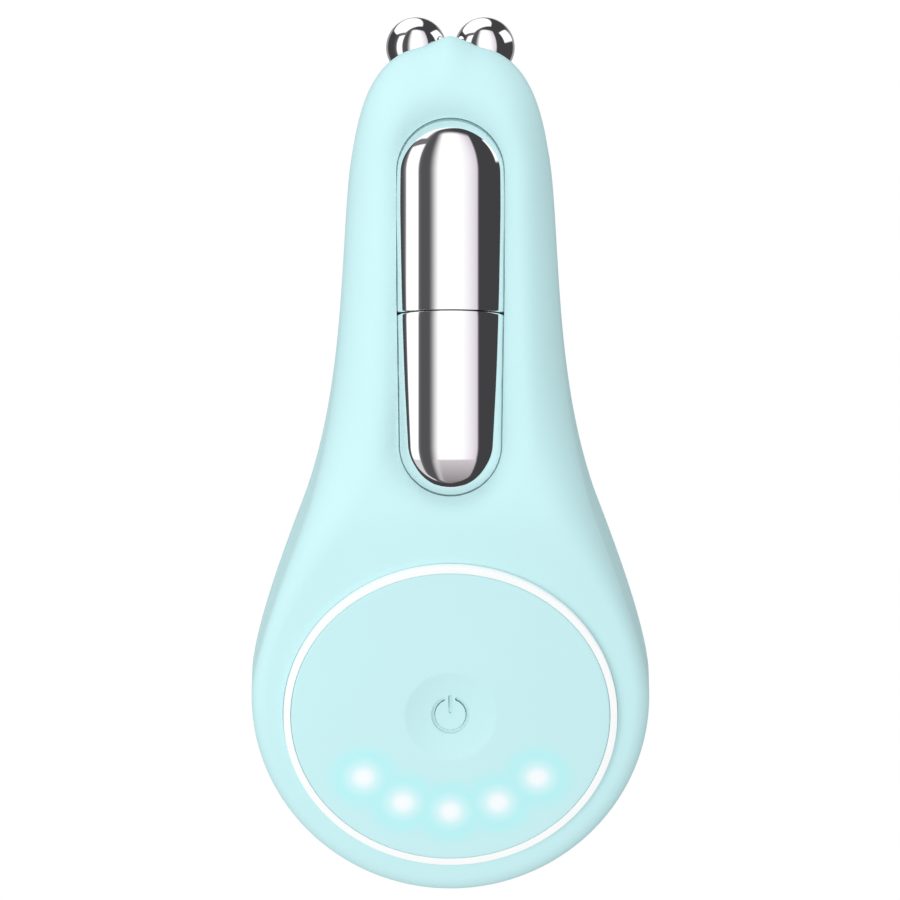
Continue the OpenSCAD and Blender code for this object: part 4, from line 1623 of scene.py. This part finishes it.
    def _wide_panel(self, x: Array, y: Array, z: Array) -> Array:
        """Outlines the wide panel over the device, whose sides close in towards the nose.

        Args:
            x, y, z: The parts of the directions.

        Returns:
            1 inside the panel and 0 outside it.
        """
        across = np.degrees(np.arctan2(x, np.sqrt(z**2 + self.wide_taper * np.maximum(y, 0) ** 2)))
        along = np.degrees(np.arctan2(y, z))
        width = self.wide_left.above(across) * self.wide_right.below(across)
        return width * self.wide_top.below(along) * (z > 0)

    def _strip(self, x: Array, y: Array, z: Array) -> Array:
        """Outlines the strip to the left of the device, with its slanted top.

        Args:
            x, y, z: The parts of the directions.

        Returns:
            1 inside the strip and 0 outside it.
        """
        left = np.maximum(-x, TINY)
        out = z / left
        up = y / left - self.strip_lean * out
        width = self.strip_left.above(out) * self.strip_right.below(out)
        return width * self.strip_foot.above(up) * self.strip_top.below(up) * (x < 0)

    def _card(self, u: Array, v: Array, out: Array, corners: Sequence[Pair]) -> Array:
        """Outlines a flat white card.

        Args:
            u, v: The parts of the directions along the card.
            out: Their part towards it.
            corners: The card's convex outline at a distance of 1, anticlockwise.

        Returns:
            1 inside the card and 0 outside it.
        """
        depth = np.maximum(out, TINY)
        share = (out > 0).astype(float)
        for (a, b), (c, d) in zip(corners, [*corners[1:], corners[0]]):
            inward = ((c - a) * (v / depth - b) - (d - b) * (u / depth - a)) / math.hypot(c - a, d - b)
            share *= smooth(inward / self.card_soft + 0.5)
        return share


@dataclass
class Studio:
    """Camera, floor, lamps and background."""

    tilt: float = math.radians(12.0)
    lens: float = 1500.0
    sensor: float = 36.0
    clip_end: float = 20.0
    frame_px: float = 900.0
    mm_per_px: float = 0.1433
    centre_across: float = -0.06
    centre_up: float = -1.11
    centre_out: float = 12.0
    ambient: float = 0.765
    lamp_size: float = 0.20
    key_watts: float = 0.228
    key_at: tuple[float, float, float] = (-0.168, -0.060, 0.262)
    fill_watts: float = 0.24
    fill_at: tuple[float, float, float] = (-0.060, 0.320, 0.085)
    floor_size: float = 40.0
    floor_z: float = -0.00002
    floor_matte: Colour = (0.6, 0.6, 0.6)
    floor_white: float = 1.04
    shadow_share: float = 0.06

    def build(self) -> None:
        """Builds the whole studio."""
        turn = self._camera()
        ReflectionTent().build(turn)
        self._floor()
        self._world()
        self._lamp("key", self.key_watts, self.key_at)
        self._lamp("fill", self.fill_watts, self.fill_at)
        bpy.context.scene.view_settings.view_transform = "Standard"

    def _camera(self) -> Matrix:
        """Sets the camera.

        Returns:
            The turn from the view's frame to the scene's.
        """
        right = Vector((1, 0, 0))
        up = Vector((0, math.cos(self.tilt), -math.sin(self.tilt)))
        out = Vector((0, math.sin(self.tilt), math.cos(self.tilt)))
        turn = Matrix((right, up, out)).transposed()
        target = (right * self.centre_across + up * self.centre_up + out * self.centre_out) * MM
        distance = self.mm_per_px * self.frame_px * MM / self.sensor * self.lens
        data = bpy.data.cameras.new("camera")
        data.lens = self.lens
        data.sensor_width = self.sensor
        data.clip_end = self.clip_end
        camera = bpy.data.objects.new("camera", data)
        camera.matrix_world = Matrix.Translation(target + out * distance) @ turn.to_4x4()
        bpy.context.scene.collection.objects.link(camera)
        bpy.context.scene.camera = camera
        return turn

    @staticmethod
    def _seen(nodes: Nodes) -> Socket:
        """Tells the rays that should see white from those that light the object.

        Args:
            nodes: The nodes of a material or the world.

        Returns:
            1 for rays of the camera, of reflections and through glass, and 0 for others.
        """
        path = nodes.add("LightPath")
        seen = nodes.math("ADD", path.outputs["Is Camera Ray"], path.outputs["Is Glossy Ray"])
        return nodes.math("ADD", seen, path.outputs["Is Transmission Ray"], clamp=True)

    def _floor(self) -> None:
        """Lays the floor: white to the eye, with a trace of the object's shadow."""
        bpy.ops.mesh.primitive_plane_add(size=self.floor_size, location=(0, 0, self.floor_z))
        floor = bpy.context.object
        floor.name = "floor"
        surface = Surface("white_floor")
        matte = surface.add("BsdfDiffuse", in_Color=(*self.floor_matte, 1.0))
        white = surface.add("Emission", in_Strength=self.floor_white)
        blend = surface.add("MixShader")
        share = surface.math("MULTIPLY", self._seen(surface), 1 - self.shadow_share)
        surface.feed(blend.inputs, (share, matte.outputs[0], white.outputs[0]))
        surface.link(blend.outputs[0], surface.output.inputs["Surface"])
        floor.data.materials.append(surface.material)
        floor.visible_glossy = False

    def _world(self) -> None:
        """Sets the background: white to the eye, and a plain soft light on the object."""
        world = bpy.data.worlds.new("studio")
        bpy.context.scene.world = world
        nodes = Nodes(world)
        background = nodes.tree.nodes["Background"]
        strength = nodes.ramp(self._seen(nodes), (0.0, 1.0), (self.ambient, 1.0))
        nodes.feed((background.inputs["Color"], background.inputs["Strength"]), ((1, 1, 1, 1), strength))

    def _lamp(self, name: str, watts: float, at: tuple[float, float, float]) -> None:
        """Hangs a soft round lamp that faces the device.

        Args:
            name: The lamp's name.
            watts: Its power.
            at: Where it hangs, in metres.
        """
        data = bpy.data.lights.new(name, "AREA")
        data.shape = "DISK"
        data.size = self.lamp_size
        data.energy = watts
        lamp = bpy.data.objects.new(name, data)
        lamp.location = at
        lamp.rotation_euler = Vector(at).to_track_quat("Z", "Y").to_euler()
        lamp.visible_glossy = False
        bpy.context.scene.collection.objects.link(lamp)


# ------------------------------------------------------------------ making


def main() -> None:
    """Builds the studio and every piece of the device."""
    logging.basicConfig(level=logging.INFO, format="%(name)s: %(message)s")
    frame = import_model()
    Studio().build()
    skin = SoftTouch()
    plating = Polished().build()
    housing = Housing(skin.build())
    button = FaceButton()
    electrodes = NeckElectrodes(plating)
    balls = TipBalls(plating)
    pieces = [
        housing.front(),
        housing.back(),
        button.build(skin.build(button.lamp_points(), button.symbol_point())),
        LightRing().build(Diffuser().build()),
        electrodes.half("upper_electrode_half", "upper_electrode", True),
        electrodes.half("lower_electrode_half", "lower_electrode", False),
        balls.ball("ball_electrode_left", "ball_left", -1),
        balls.ball("ball_electrode_right", "ball_right", 1),
    ]
    for piece in pieces:
        log.info("%s: %d faces", piece.name, len(piece.data.polygons))
    log.info("inner parts dressed: %d", InnerParts().dress_all(frame))


if __name__ == "__main__":
    main()
